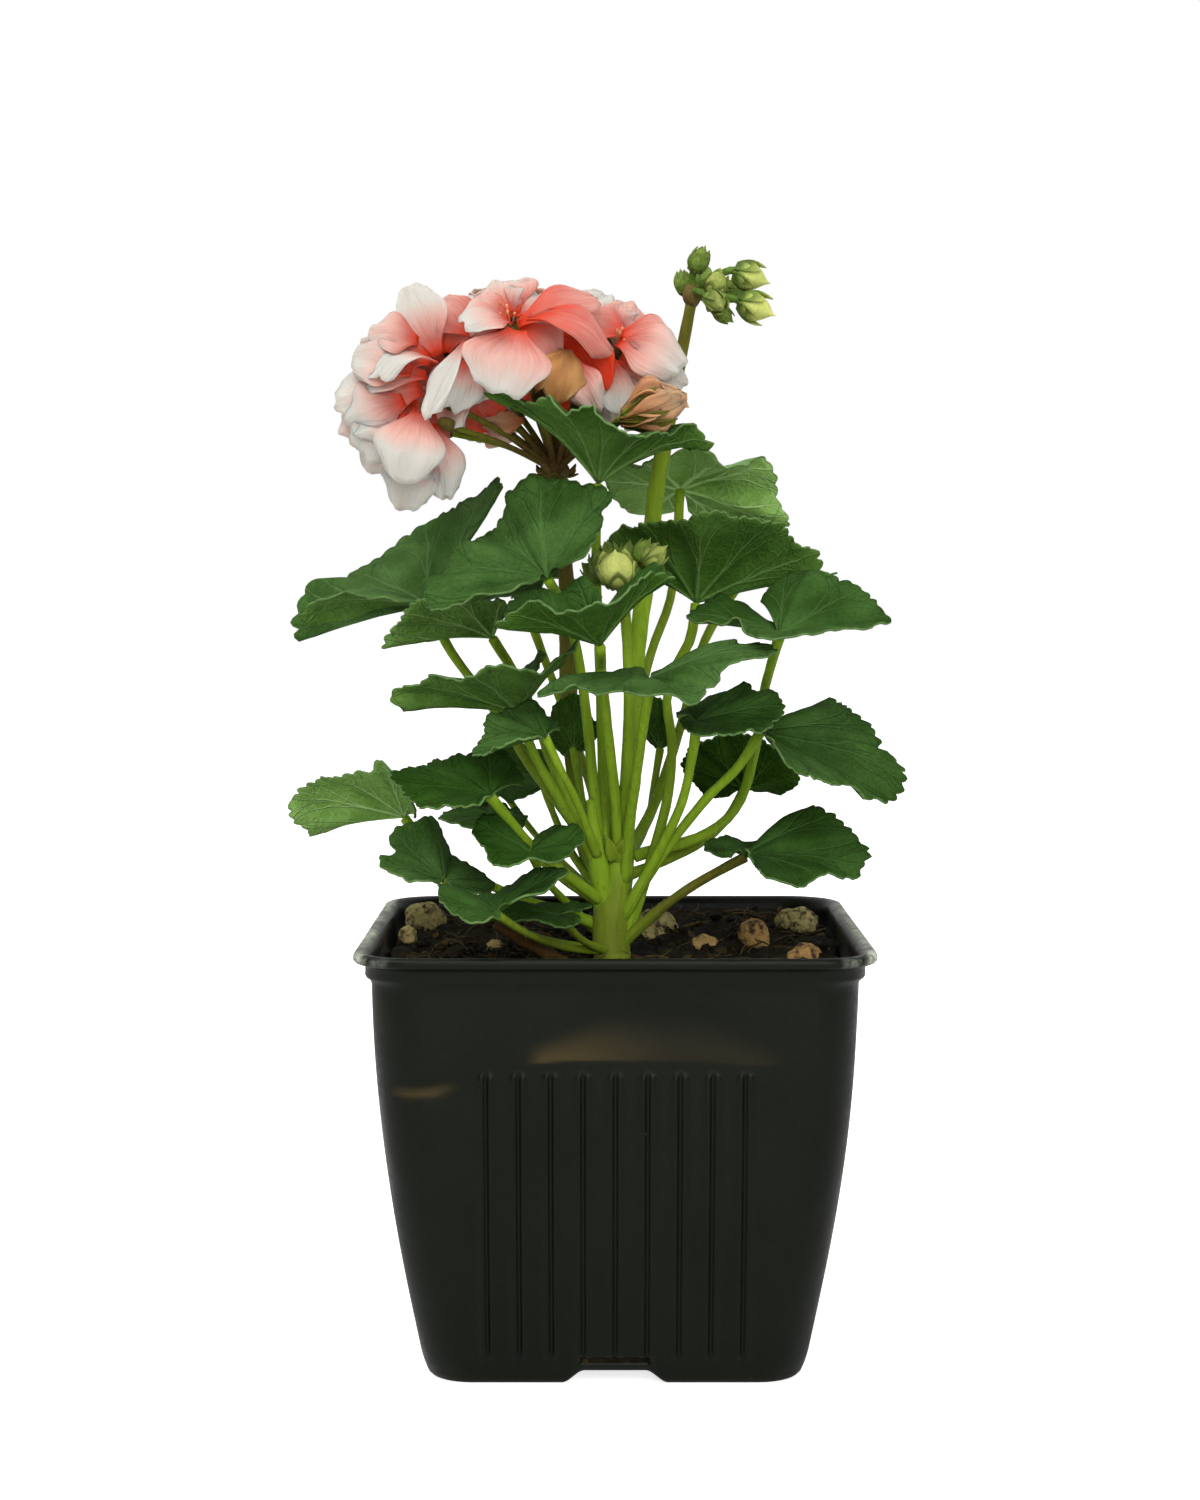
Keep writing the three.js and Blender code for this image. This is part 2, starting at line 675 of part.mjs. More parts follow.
    lobes: [
      [755, 866, -0.5], [767, 878, -0.6], [784, 888, -0.65], [802, 889, -0.6], [825, 876, -0.5],
      [857, 880, -0.2], [862, 868, -0.05], [869, 856, 0], [860, 835, 0.25], [841, 820, 0.4],
      [812, 810, 0.55], [794, 816, 0.65], [779, 833, 0.7], [762, 841, 0.7], [746, 843, 0.6],
      [731, 837, 0.4], [713, 838, 0.15], [703, 845, 0], [714, 855, -0.3],
    ],
    stalk: [[742, 861, -20], [706, 878, -17], [668, 903, -14], [620, 945, -10]],
  },
  {
    name: 'leaf_right_lobe',
    foot: [760, 732, -18],
    reach: 29,
    dome: 0.12,
    lobes: [
      [779, 758, -0.8], [799, 777, -0.7], [822, 784, -0.6], [850, 789, -0.45], [899, 804, -0.1],
      [905, 783, 0], [895, 758, 0.1], [880, 751, 0.15], [882, 742, 0.2], [857, 715, 0.35],
      [845, 703, 0.45], [830, 700, 0.55], [804, 718, 0.7], [785, 721, 0.8],
    ],
    stalk: [[756, 738, -18], [738, 767, -17], [706, 799, -15], [668, 847, -12], [624, 912, -10]],
  },
  {
    name: 'leaf_right_ruffled',
    foot: [697, 722, -26],
    reach: 20,
    dome: 0.14,
    lobes: [
      [684, 728, -0.6], [700, 738, -0.8], [728, 738, -0.8], [756, 733, -0.6], [778, 725, -0.2],
      [783, 713, 0], [778, 690, 0.4], [759, 691, 0.6], [746, 684, 0.7], [726, 691, 0.8],
      [704, 701, 0.8], [679, 713, 0.6],
    ],
    stalk: [[695, 729, -26], [691, 762, -22], [682, 802, -18], [656, 857, -13], [623, 918, -10]],
  },
  {
    name: 'leaf_right_shade',
    foot: [744, 790, 18],
    reach: 20,
    dome: 0.1,
    lobes: [
      [713, 796, 0.3], [692, 783, 0.1], [683, 768, 0], [688, 748, -0.3], [707, 737, -0.55],
      [735, 733, -0.7], [765, 742, -0.6], [788, 757, -0.3], [799, 780, 0], [790, 792, 0.2],
      [768, 794, 0.4],
    ],
    stalk: [[742, 797, 18], [730, 815, 14], [702, 842, 6], [622, 878, -6]],
  },
  {
    name: 'leaf_inner',
    foot: [661, 749, 20],
    reach: 12,
    lobes: [
      [650, 741, 0.5], [637, 728, 0.2], [636, 713, 0], [644, 701, -0.2], [656, 697, -0.4],
      [666, 712, -0.5], [672, 735, -0.5],
    ],
    stalk: [[660, 756, 19], [654, 785, 15], [648, 820, 8], [622, 874, -6]],
    small: true,
  },
  {
    name: 'leaf_hidden_left',
    foot: [520, 590, 38],
    reach: 25,
    dome: 0.12,
    lobes: [
      [525, 598, -0.7], [545, 585, -0.4], [572, 560, 0.2], [570, 535, 0.6], [540, 528, 0.8],
      [500, 530, 0.85], [458, 550, 0.5], [440, 580, 0], [470, 596, -0.4], [500, 600, -0.7],
    ],
    stalk: [[522, 598, 38], [545, 660, 34], [575, 740, 28], [600, 820, 8], [606, 870, -4]],
  },
  {
    name: 'leaf_hidden_right',
    foot: [745, 574, 42],
    reach: 25,
    dome: 0.12,
    lobes: [
      [722, 590, -0.7], [755, 588, -0.8], [795, 576, -0.3], [808, 560, 0.2], [790, 543, 0.7],
      [755, 540, 0.9], [715, 545, 0.8], [685, 560, 0.3], [692, 582, -0.3],
    ],
    stalk: [[742, 584, 42], [705, 640, 34], [682, 722, 22], [652, 810, 9], [624, 858, -5]],
  },
  {
    name: 'leaf_hidden_low',
    foot: [500, 786, 42],
    reach: 19,
    lobes: [
      [510, 800, -0.7], [540, 792, -0.4], [557, 775, 0.1], [540, 760, 0.7], [505, 754, 0.9],
      [468, 760, 0.6], [444, 776, 0], [462, 792, -0.5], [488, 799, -0.8],
    ],
    stalk: [[503, 797, 43], [530, 828, 36], [570, 870, 14], [608, 904, -7]],
    small: true,
  },
];

const OUTLINE_STEPS = { large: [6, 14, 28], small: [5, 10, 20] };
const RING_SHARES = [0.38, 0.72, 1];
const STALK_RADIUS = { large: 1.15, small: 0.9 };

// The blade's frame: the vectors from its foot to its lobes, closed off by a shoulder on each
// side of the cleft.
function bladeFrame(leaf) {
  const foot = place(leaf.foot);
  const last = leaf.lobes.length - 1;
  const arms = leaf.lobes.map((lobe, index) => {
    const basal = index === 0 || index === last;
    return placeAtReach(foot, leaf.reach * (basal ? 0.8 : 1), lobe).sub(foot);
  });
  const shoulder = (arm, neighbour) => {
    const axis = arm.clone().cross(neighbour).normalize();
    return arm.clone().applyAxisAngle(axis, -BLADE.shoulderTurn).multiplyScalar(BLADE.shoulderReach);
  };
  const first = shoulder(arms[0], arms[1]);
  const final = shoulder(arms[last], arms[last - 1]);
  const curve = new THREE.CatmullRomCurve3([first, ...arms, final], false, 'centripetal');
  const normal = new THREE.Vector3();
  for (let i = 0; i < last; i++) normal.add(arms[i].clone().cross(arms[i + 1]));
  normal.normalize();
  const dome = (leaf.dome ?? BLADE.dome) * leaf.reach;
  return { foot, curve, normal, dome };
}

// A point of the blade's middle surface: `around` runs from one side of the cleft to the other,
// `out` from the foot to the edge.
function bladePoint(frame, around, out, tooth) {
  const arm = frame.curve.getPoint(around);
  const dome = frame.dome * out * (1 - out);
  return frame.foot
    .clone()
    .addScaledVector(arm, out * (1 + tooth))
    .addScaledVector(frame.normal, dome);
}

// Two rings of a blade, joined by triangles that follow each other round.
function stitch(inner, outer) {
  const faces = [];
  let i = 0;
  let j = 0;
  while (i < inner.length - 1 || j < outer.length - 1) {
    const nextInner = (i + 1) / (inner.length - 1);
    const nextOuter = (j + 1) / (outer.length - 1);
    if (j < outer.length - 1 && (nextOuter <= nextInner || i === inner.length - 1)) {
      faces.push([inner[i], outer[j], outer[j + 1]]);
      j++;
    } else {
      faces.push([inner[i], outer[j], inner[i + 1]]);
      i++;
    }
  }
  return faces;
}

// The blade as a plate: the same triangles on both faces, and a wall round its edge.
function bladeSolid(leaf, thickness = BLADE.thickness, rings = RING_SHARES.length) {
  const frame = bladeFrame(leaf);
  const steps = (leaf.small ? OUTLINE_STEPS.small : OUTLINE_STEPS.large).slice(0, rings);
  const middle = [frame.foot.clone()];
  const loops = steps.map((count, ring) => {
    const loop = [];
    for (let i = 0; i <= count; i++) {
      const edge = ring === RING_SHARES.length - 1;
      const tooth = edge ? BLADE.tooth * (i % 2 ? 1 : -1) : 0;
      middle.push(bladePoint(frame, i / count, RING_SHARES[ring], tooth));
      loop.push(middle.length - 1);
    }
    return loop;
  });
  const sheet = [];
  for (let i = 0; i + 1 < loops[0].length; i++) sheet.push([0, loops[0][i], loops[0][i + 1]]);
  for (let r = 0; r + 1 < loops.length; r++) sheet.push(...stitch(loops[r], loops[r + 1]));

  const normals = middle.map(() => new THREE.Vector3());
  for (const [a, b, c] of sheet) {
    const face = middle[b].clone().sub(middle[a]).cross(middle[c].clone().sub(middle[a]));
    for (const index of [a, b, c]) normals[index].add(face);
  }
  const upper = middle.map((p, i) => p.clone().addScaledVector(normals[i].normalize(), thickness / 2));
  const lower = middle.map((p, i) => p.clone().addScaledVector(normals[i], -thickness / 2));
  const count = middle.length;
  const outer = loops[loops.length - 1];
  const border = [0, ...loops.map((loop) => loop[0]).slice(0, -1), ...outer];
  for (let r = loops.length - 2; r >= 0; r--) border.push(loops[r][loops[r].length - 1]);
  const faces = [...sheet, ...sheet.map(([a, b, c]) => [a + count, c + count, b + count])];
  border.forEach((a, k) => {
    const b = border[(k + 1) % border.length];
    faces.push([a, a + count, b + count], [a, b + count, b]);
  });
  return solidOf(geometryOf([...upper, ...lower], faces));
}

function stalkSolid(leaf, grow = 0) {
  const radius = (leaf.small ? STALK_RADIUS.small : STALK_RADIUS.large) + grow;
  const tip = bladeFrame(leaf);
  const points = leaf.stalk.map(place);
  points[0] = tip.foot.clone().addScaledVector(tip.normal, -0.5 * BLADE.thickness);
  const radii = [radius * 1.5, radius, radius * 0.9, radius * 0.85, radius];
  const tube = stemSolid(points.reverse(), radii, leaf.small ? 4 : 5, points.length - 1);
  const clearance = bladeSolid(leaf, BLADE.thickness + 2 * CUT, 2);
  const drop = BLADE.thickness / 2 + CUT;
  const room = new THREE.BoxGeometry(4.4, 4.4, 4);
  room.translate(0, 0, 2 - drop);
  room.applyQuaternion(new THREE.Quaternion().setFromUnitVectors(new THREE.Vector3(0, 0, 1), tip.normal));
  room.translate(tip.foot.x, tip.foot.y, tip.foot.z);
  return mainBody(tube.subtract(clearance).subtract(solidOf(room)));
}

// Everything green that stands in the hole: the shoots, the bud stalks and the leaf stalks.
function stemsSolid(grow = 0) {
  const tube = ({ path, radii }, steps) => stemSolid(path.map(place), radii.map((r) => r + grow), 8, steps);
  const foot = STEM.foot;
  const down = (drop) => foot.clone().add(new THREE.Vector3(0, 0, -drop));
  const thick = [2.6, 3.6, 4.0].map((radius) => radius + grow);
  const root = stemSolid([down(STEM.depthInSoil), down(8), down(-2)], thick, 8, 3);
  const shoots = SHOOTS.map((shoot) => tube(shoot, 5));
  const stalks = [BUD_STALK_TALL, BUD_STALK_CENTRE].map((stalk) => tube(stalk, 8));
  return mainBody(joined([root, ...shoots, ...stalks, ...LEAVES.map((leaf) => stalkSolid(leaf, grow))]));
}

// The flower head
const HUB = place([556, 470, 8]);
const FLOWER_STALK = {
  path: [
    [604, 888, -5], [586, 850, 6], [573, 760, 16], [568, 670, 17], [567, 590, 14], [560, 510, 10],
    [556, 474, 8],
  ],
  radii: [2.0, 1.9, 1.8, 1.9, 1.9, 1.6, 1.7],
};

// Florets: the heart where the petals meet, the way the floret faces, and each petal's tip as a
// column, a row and a side of the heart, with its length and width.
const FLORETS = [
  {
    heart: [430, 355, -4],
    face: [-0.3, -0.9, 0.25],
    petals: [
      [407, 283, -0.3, 17.5, 8], [466, 305, 0.4, 15, 8], [368, 334, -0.3, 16, 9],
      [372, 374, -0.95, 15, 9], [468, 360, 0.6, 13, 9],
    ],
  },
  {
    heart: [420, 392, -8],
    face: [-0.3, -0.92, -0.1],
    petals: [
      [337, 400, -0.2, 18.5, 12], [364, 468, -0.1, 20, 11], [399, 481, -0.6, 21, 11],
      [406, 511, 0.3, 25.5, 10], [451, 499, 0.2, 24, 8], [352, 360, 0.5, 17, 10],
    ],
  },
  {
    heart: [511, 326, -12],
    face: [-0.1, -0.72, 0.68],
    petals: [
      [462, 321, -0.3, 12, 8], [497, 391, -0.5, 17, 14], [455, 421, -0.2, 24, 9],
      [505, 283, 0.7, 16, 12], [610, 302, -0.1, 22, 10], [613, 351, -0.4, 24, 8],
      [556, 352, 0.2, 12, 9], [468, 303, 0.5, 13, 9],
    ],
  },
  {
    heart: [616, 346, -10],
    face: [0.35, -0.75, 0.55],
    petals: [
      [636, 308, 0.3, 10.5, 9], [670, 336, 0.1, 12.5, 9], [682, 365, -0.4, 15.5, 9],
      [684, 387, -0.1, 17.5, 9], [621, 401, -0.6, 14, 10], [588, 318, 0.1, 10, 9],
    ],
  },
  {
    heart: [579, 362, -20],
    face: [0.05, -0.95, 0.1],
    petals: [
      [561, 401, -0.8, 12, 10], [597, 403, -0.7, 12, 7], [545, 372, 0.3, 9, 8], [600, 350, 0.4, 8, 9],
    ],
  },
  {
    heart: [556, 312, 4],
    face: [0.05, 0.1, 1],
    petals: [
      [522, 306, 0.2, 13, 12], [566, 300, 0.9, 13, 12], [598, 312, 0.2, 13, 12],
      [548, 334, -0.8, 13, 11],
    ],
  },
  {
    heart: [470, 352, 26],
    face: [-0.5, 0.6, 0.6],
    petals: [
      [432, 330, 0.3, 15, 13], [474, 306, 0.4, 15, 13], [500, 366, 0.5, 14, 13],
      [444, 394, 0.6, 15, 12],
    ],
  },
  {
    heart: [546, 318, 22],
    face: [0, 0.45, 0.9],
    petals: [
      [502, 310, 0.3, 15, 13], [546, 294, 0.8, 15, 13], [594, 326, 0.4, 15, 13],
      [520, 362, 0.3, 15, 12],
    ],
  },
  {
    heart: [618, 358, 26],
    face: [0.55, 0.6, 0.5],
    petals: [
      [590, 320, 0.4, 15, 13], [650, 336, 0.4, 15, 13], [656, 392, 0.5, 14, 13],
      [580, 390, 0.6, 14, 12],
    ],
  },
  {
    heart: [492, 412, 38],
    face: [-0.35, 0.85, 0.1],
    petals: [
      [456, 386, 0.2, 13, 12], [510, 374, 0.4, 14, 13], [518, 430, 0.5, 13, 12],
      [468, 438, 0.5, 13, 11],
    ],
  },
  {
    heart: [580, 398, 42],
    face: [0.25, 0.9, 0.1],
    petals: [
      [542, 376, 0.2, 14, 13], [598, 360, 0.3, 14, 13], [614, 424, 0.4, 13, 12],
      [552, 432, 0.4, 13, 12],
    ],
  },
];

// A petal: a plate that widens from its claw and rounds off, bent back along its length. The same
// plate grown by a margin clears the way for its neighbours.
function petalSolid(heart, tip, facing, width, grow = 0) {
  const along = tip.clone().sub(heart);
  const length = along.length() + grow;
  along.normalize();
  const face = facing.clone().addScaledVector(along, -facing.dot(along)).normalize();
  const across = along.clone().cross(face).normalize();
  const stations = [[0.02 - grow / length, 0.2], [0.5, 0.92], [0.86, 0.84]];
  const middle = [];
  const spot = (share, side) => {
    const bow = 0.12 * length * Math.sin(Math.PI * share);
    const cup = 0.1 * width * side * side;
    return heart
      .clone()
      .addScaledVector(along, share * length)
      .addScaledVector(across, side * (width / 2 + grow))
      .addScaledVector(face, bow + cup);
  };
  for (const [share, half] of stations) middle.push(spot(share, -half), spot(share, half));
  middle.push(spot(1.0, 0));
  const sheet = [];
  for (let i = 0; i + 1 < stations.length; i++) {
    const a = 2 * i;
    sheet.push([a, a + 1, a + 3], [a, a + 3, a + 2]);
  }
  const tipIndex = middle.length - 1;
  sheet.push([tipIndex - 2, tipIndex - 1, tipIndex]);
  const raised = face.clone().multiplyScalar(PETAL.thickness / 2 + grow);
  const upper = middle.map((p) => p.clone().add(raised));
  const lower = middle.map((p) => p.clone().sub(raised));
  const border = [0, 1, 3, 5, 6, 4, 2];
  const count = middle.length;
  const faces = [...sheet, ...sheet.map(([a, b, c]) => [a + count, c + count, b + count])];
  border.forEach((a, k) => {
    const b = border[(k + 1) % border.length];
    faces.push([a, a + count, b + count], [a, b + count, b]);
  });
  return solidOf(geometryOf([...upper, ...lower], faces));
}

function floretSolid(floret, grow = 0) {
  const heart = place(floret.heart);
  const facing = new THREE.Vector3(...floret.face);
  return joined(
    floret.petals.map(([column, row, side, length, width]) =>
      petalSolid(heart, placeAtReach(heart, length, [column, row, side]), facing, width, grow),
    ),
  );
}

// The thin stalks of the head spread from its hub, each ending in a small green cup.
function headSolid() {
  const pieces = [stemSolid(FLOWER_STALK.path.map(place), FLOWER_STALK.radii, 7, 8)];
  const below = HUB.clone().add(new THREE.Vector3(0, 0, -4));
  const above = HUB.clone().add(new THREE.Vector3(-0.5, 0, 3.5));
  pieces.push(spindleSolid(below, above, [[0, 0], [2.6, 0.3], [3.2, 0.7], [0, 1]], 7));
  for (const floret of FLORETS) {
    const heart = place(floret.heart);
    const outward = heart.clone().sub(HUB).normalize();
    outward.addScaledVector(new THREE.Vector3(...floret.face), 0.7).normalize();
    const neck = heart.clone().addScaledVector(outward, -7);
    const cup = neck.clone().addScaledVector(outward, 1);
    pieces.push(stemSolid([HUB.clone(), cup], [0.85, 0.75], 4, 1));
    pieces.push(spindleSolid(neck, heart, [[0, 0], [1.7, 0.6], [0, 1]], 5));
  }
  const budFoot = place([619, 419, -21]);
  const budTip = place([683, 396, -24]);
  pieces.push(spindleSolid(budFoot, budTip, [[0, 0], [2.6, 0.3], [3.6, 0.6], [2.2, 0.9], [0, 1]], 6));
  const bend = [place([584, 446, 2]), place([606, 432, -12])];
  pieces.push(stemSolid([HUB.clone(), ...bend, place([622, 418, -21.2])], [0.8, 0.7, 0.9], 4, 4));
  return joined(pieces);
}

// Bud clusters
const BUD_PROFILE = [[0, 0], [0.85, 0.26], [0.95, 0.66], [0, 1]];
// A bud is its tip, its base and its radius.
const BUDS_TOP = {
  name: 'buds_top',
  hub: [692, 302, 9],
  buds: [
    [[706, 245, 4], [693, 273, 7], 2.3],
    [[680, 268, 13], [686, 296, 11], 1.9],
    [[722, 270, -3], [711, 294, 3], 2.4],
    [[723, 308, -9], [709, 296, 0], 2.2],
    [[771, 284, 4], [732, 270, 6], 3.0],
    [[776, 316, 0], [738, 300, 4], 3.0],
    [[734, 323, 12], [714, 306, 12], 2.0],
    [[706, 270, 24], [700, 290, 16], 2.3],
    [[744, 294, 22], [722, 290, 15], 2.4],
  ],
};
const BUDS_CENTRE = {
  name: 'buds_centre',
  hub: [624, 590, -15],
  buds: [
    [[616, 551, -22], [617, 586, -18], 3.1],
    [[594, 547, -13], [606, 578, -14], 2.6],
    [[581, 562, -9], [604, 582, -12], 2.1],
    [[668, 545, -17], [641, 568, -15], 2.6],
    [[630, 539, -13], [626, 572, -14], 2.4],
    [[651, 537, -15], [636, 566, -15], 2.2],
    [[607, 539, -7], [614, 572, -11], 2.2],
  ],
};

function budCluster({ hub, buds }) {
  const root = place(hub);
  const low = root.clone().add(new THREE.Vector3(0, 0, GAP));
  const high = root.clone().add(new THREE.Vector3(0, 0, 4.6));
  const pieces = [spindleSolid(low, high, [[0, 0], [1.6, 0.04], [2.2, 0.6], [0, 1]], 6)];
  const heart = root.clone().add(new THREE.Vector3(0, 0, 2.6));
  for (const [top, bottom, radius] of buds) {
    const tip = place(top);
    const base = place(bottom);
    const into = base.clone().lerp(tip, 0.2);
    pieces.push(stemSolid([heart.clone(), base.clone(), into], [0.9, 0.8, 0.9], 4, 2));
    pieces.push(spindleSolid(base, tip, BUD_PROFILE.map(([r, s]) => [r * radius, s]), 5));
  }
  return lightened(mainBody(joined(pieces)));
}

// Assembly
function plant() {
  const meshes = [];
  const blades = LEAVES.map((leaf) => bladeSolid(leaf));
  LEAVES.forEach((leaf, i) => meshes.push(meshOf(leaf.name, blades[i], COLOUR.leaf, 0.6)));

  const petals = joined(FLORETS.map((floret) => floretSolid(floret)));
  const bodies = petals.decompose().filter((body) => body.volume() > 5);
  bodies.sort((a, b) => b.volume() - a.volume());
  bodies.forEach((body, i) => {
    meshes.push(meshOf(`petals_${i + 1}`, lightened(body, 0.07), COLOUR.petal, 0.7));
  });

  meshes.push(meshOf('stems', lightened(stemsSolid(), 0.1), COLOUR.stem, 0.6));
  const grownPetals = joined(FLORETS.map((floret) => floretSolid(floret, CUT)));
  const head = headSolid().subtract(grownPetals).subtract(stemsSolid(CUT));
  meshes.push(meshOf('flower_stalk', lightened(mainBody(head), 0.08), COLOUR.stalk, 0.7));
  for (const cluster of [BUDS_TOP, BUDS_CENTRE])
    meshes.push(meshOf(cluster.name, budCluster(cluster), COLOUR.bud, 0.6));
  return meshes;
}

function potAndSoil() {
  const meshes = [meshOf('pot', lightened(potSolid()), COLOUR.pot, 0.35)];
  let soil = soilSolid();
  for (const granule of GRANULES) {
    soil = soil.subtract(granuleSolid(granule, CUT));
    meshes.push(meshOf(granule.name, granuleSolid(granule), COLOUR.granule, 0.9));
  }
  const hole = new THREE.CylinderGeometry(STEM.holeRadius, STEM.holeRadius, 40, 12);
  hole.rotateX(Math.PI / 2);
  hole.translate(STEM.foot.x, STEM.foot.y, STEM.foot.z - STEM.depthInSoil + 19.5);
  soil = mainBody(soil.subtract(solidOf(hole)));
  meshes.push(meshOf('soil', soil, COLOUR.soil, 0.95));
  return meshes;
}

// The origin is the middle of the whole plant's footprint, on the surface that the pot stands on.
const group = new THREE.Group();
group.add(...potAndSoil(), ...plant());
group.updateMatrixWorld(true);
const outline = new THREE.Box3().setFromObject(group);
const middle = outline.getCenter(new THREE.Vector3());
group.position.set(-middle.x, -middle.y, 0);

export default group;
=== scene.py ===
"""A young zonal geranium in a square black nursery pot, modelled in Blender.

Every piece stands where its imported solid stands, in metres. Places on the plant are read off one
front view, 1200 columns wide and 1500 rows high, as a column, a row and a depth in millimetres
behind the pot's middle. The pot, the potting mix, the blades, the petals and the buds are fine
surfaces of their own, and each stands for the plain solids that it replaces.
"""

import math
import random
from typing import NamedTuple

import bmesh
import bpy
from bpy.props import FloatProperty, FloatVectorProperty, IntProperty, PointerProperty
from mathutils import Matrix, Quaternion, Vector, noise


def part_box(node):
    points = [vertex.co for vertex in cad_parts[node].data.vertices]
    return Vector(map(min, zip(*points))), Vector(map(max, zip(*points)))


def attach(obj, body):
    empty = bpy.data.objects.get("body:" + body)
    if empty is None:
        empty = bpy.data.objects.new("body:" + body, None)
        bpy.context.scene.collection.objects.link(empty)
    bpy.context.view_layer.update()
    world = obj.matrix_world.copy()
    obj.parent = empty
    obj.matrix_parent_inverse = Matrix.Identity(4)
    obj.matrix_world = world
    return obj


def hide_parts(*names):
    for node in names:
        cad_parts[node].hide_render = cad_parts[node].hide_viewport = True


bl_info = {
    "name": "Potted geranium",
    "version": (1, 0, 0),
    "blender": (4, 5, 0),
    "location": "View3D > Sidebar > Geranium",
    "description": "Models a young zonal geranium in a square nursery pot",
    "category": "Add Mesh",
}

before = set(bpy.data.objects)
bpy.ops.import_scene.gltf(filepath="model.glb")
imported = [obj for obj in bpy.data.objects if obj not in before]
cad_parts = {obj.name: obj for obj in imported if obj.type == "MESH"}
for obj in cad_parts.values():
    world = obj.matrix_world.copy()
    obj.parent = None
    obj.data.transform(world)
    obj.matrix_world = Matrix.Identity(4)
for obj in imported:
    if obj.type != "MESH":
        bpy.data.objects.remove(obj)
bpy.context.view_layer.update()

MM = 0.001
POT_LOW, POT_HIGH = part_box("pot")
AXIS = Vector(((POT_LOW.x + POT_HIGH.x) / 2, (POT_LOW.y + POT_HIGH.y) / 2, 0))

# The front view
VIEW_COLUMNS = 1200
VIEW_ROWS = 1500
VIEW_FOCAL = 2654
VIEW_PITCH = math.radians(3.763)
SENSOR = 36
EYE = AXIS + Vector((-3.06, -568.4, 164.1)) * MM


def sight_line(column, row):
    """The direction from the eye through a column and row of the front view."""
    across = (column - VIEW_COLUMNS / 2) / VIEW_FOCAL
    up = (VIEW_ROWS / 2 - row) / VIEW_FOCAL
    cosine, sine = math.cos(VIEW_PITCH), math.sin(VIEW_PITCH)
    return Vector((across, cosine + up * sine, up * cosine - sine)).normalized()


def place(spot):
    """The point at a column, a row and a depth behind the pot's middle."""
    column, row, depth = spot
    line = sight_line(column, row)
    return EYE + line * ((depth * MM + AXIS.y - EYE.y) / line.y)


def place_at_reach(centre, reach, spot):
    """The point on a sight line at a reach from a centre: side -1 is near the eye, +1 is far."""
    column, row, side = spot
    line = sight_line(column, row)
    nearest = EYE + line * (centre - EYE).dot(line)
    miss = (nearest - centre).length
    return nearest + line * (side * math.sqrt(max(0, reach * reach - miss * miss)))


class Curve:
    """A smooth curve through points, of the kind that the solids' blades and stalks follow."""

    def __init__(self, points):
        self.points = [Vector(point) for point in points]

    def at(self, share):
        """The point at a share of the way, counted in knots."""
        points = self.points
        last = len(points) - 1
        low = min(int(share * last), last - 1)
        weight = share * last - low
        start, end = points[low], points[low + 1]
        before = points[low - 1] if low else start * 2 - end
        after = points[low + 2] if low + 2 <= last else end * 2 - start
        paces = [math.sqrt((b - a).length) for a, b in ((before, start), (start, end), (end, after))]
        pace = paces[1] or 1.0
        first = paces[0] or pace
        final = paces[2] or pace
        leave = (start - before) / first - (end - before) / (first + pace) + (end - start) / pace
        arrive = (end - start) / pace - (after - start) / (pace + final) + (after - end) / final
        square, cube = weight * weight, weight**3
        spot = start * (2 * cube - 3 * square + 1) + leave * pace * (cube - 2 * square + weight)
        return spot + end * (3 * square - 2 * cube) + arrive * pace * (cube - square)

    def evenly(self, count):
        """The points that divide the curve into equal lengths."""
        fine = [self.at(i / (count * 3)) for i in range(count * 3 + 1)]
        travelled = [0.0]
        for a, b in zip(fine, fine[1:]):
            travelled.append(travelled[-1] + (b - a).length)
        spots = []
        index = 0
        for i in range(count + 1):
            goal = travelled[-1] * i / count
            while index < len(fine) - 2 and travelled[index + 1] < goal:
                index += 1
            span = travelled[index + 1] - travelled[index] or 1.0
            spots.append(fine[index].lerp(fine[index + 1], min(1, (goal - travelled[index]) / span)))
        return spots


def blend(low, high, share):
    """The value at a share of the way from low to high."""
    return low + (high - low) * share


def clamp(value, low=0.0, high=1.0):
    """The value, held between two limits."""
    return max(low, min(high, value))


def ease(value):
    """0 below 0, 1 above 1, and a smooth rise between."""
    share = clamp(value)
    return share * share * (3 - 2 * share)


def steps_of(values, share):
    """The value at a share of the way along a list of values."""
    spot = clamp(share) * (len(values) - 1)
    low = min(int(spot), len(values) - 2)
    return blend(values[low], values[low + 1], spot - low)


def upright(height):
    """A height in millimetres as a way up in metres."""
    return Vector((0, 0, height * MM))


def bulge(radius, power=0.6):
    """A round body's outline: its radius at a share of its length."""
    return lambda share: radius * math.sin(math.pi * share) ** power


# The pot's shape, in millimetres
POT_TOP = 89
WALL_TOP = 83.5
SHOULDER_HALF = 49.0
BASE_HALF = 38.9
BELLY = 2.6
BASE_CORNER = 9.0
COLLAR_CORNER = 11.0
WALL = 1.1
FOOT_HEIGHT = 2.6
FLOOR_TOP = 4.2


def wall_half(height):
    """Half the pot's width at a height: the wall tapers and bellies out a little."""
    share = clamp(height / WALL_TOP)
    belly = BELLY * math.sin(math.pi * share) * (0.6 + 0.4 * share)
    return blend(BASE_HALF, SHOULDER_HALF, share) + belly


def wall_corner(height):
    """The radius of the pot's corners at a height."""
    return blend(BASE_CORNER, COLLAR_CORNER, height / POT_TOP)


# The front's two dents: where the large one starts, turns and ends, its heights and its depth
DENT_LEFT, DENT_MIDDLE, DENT_RIGHT = -18.7, 8.3, 34
DENT_LIP, DENT_TOP, DENT_END = 67.2, 70.5, 83.2
DENT_DEPTH, SMALL_DENT_DEPTH = 0.6, 0.8


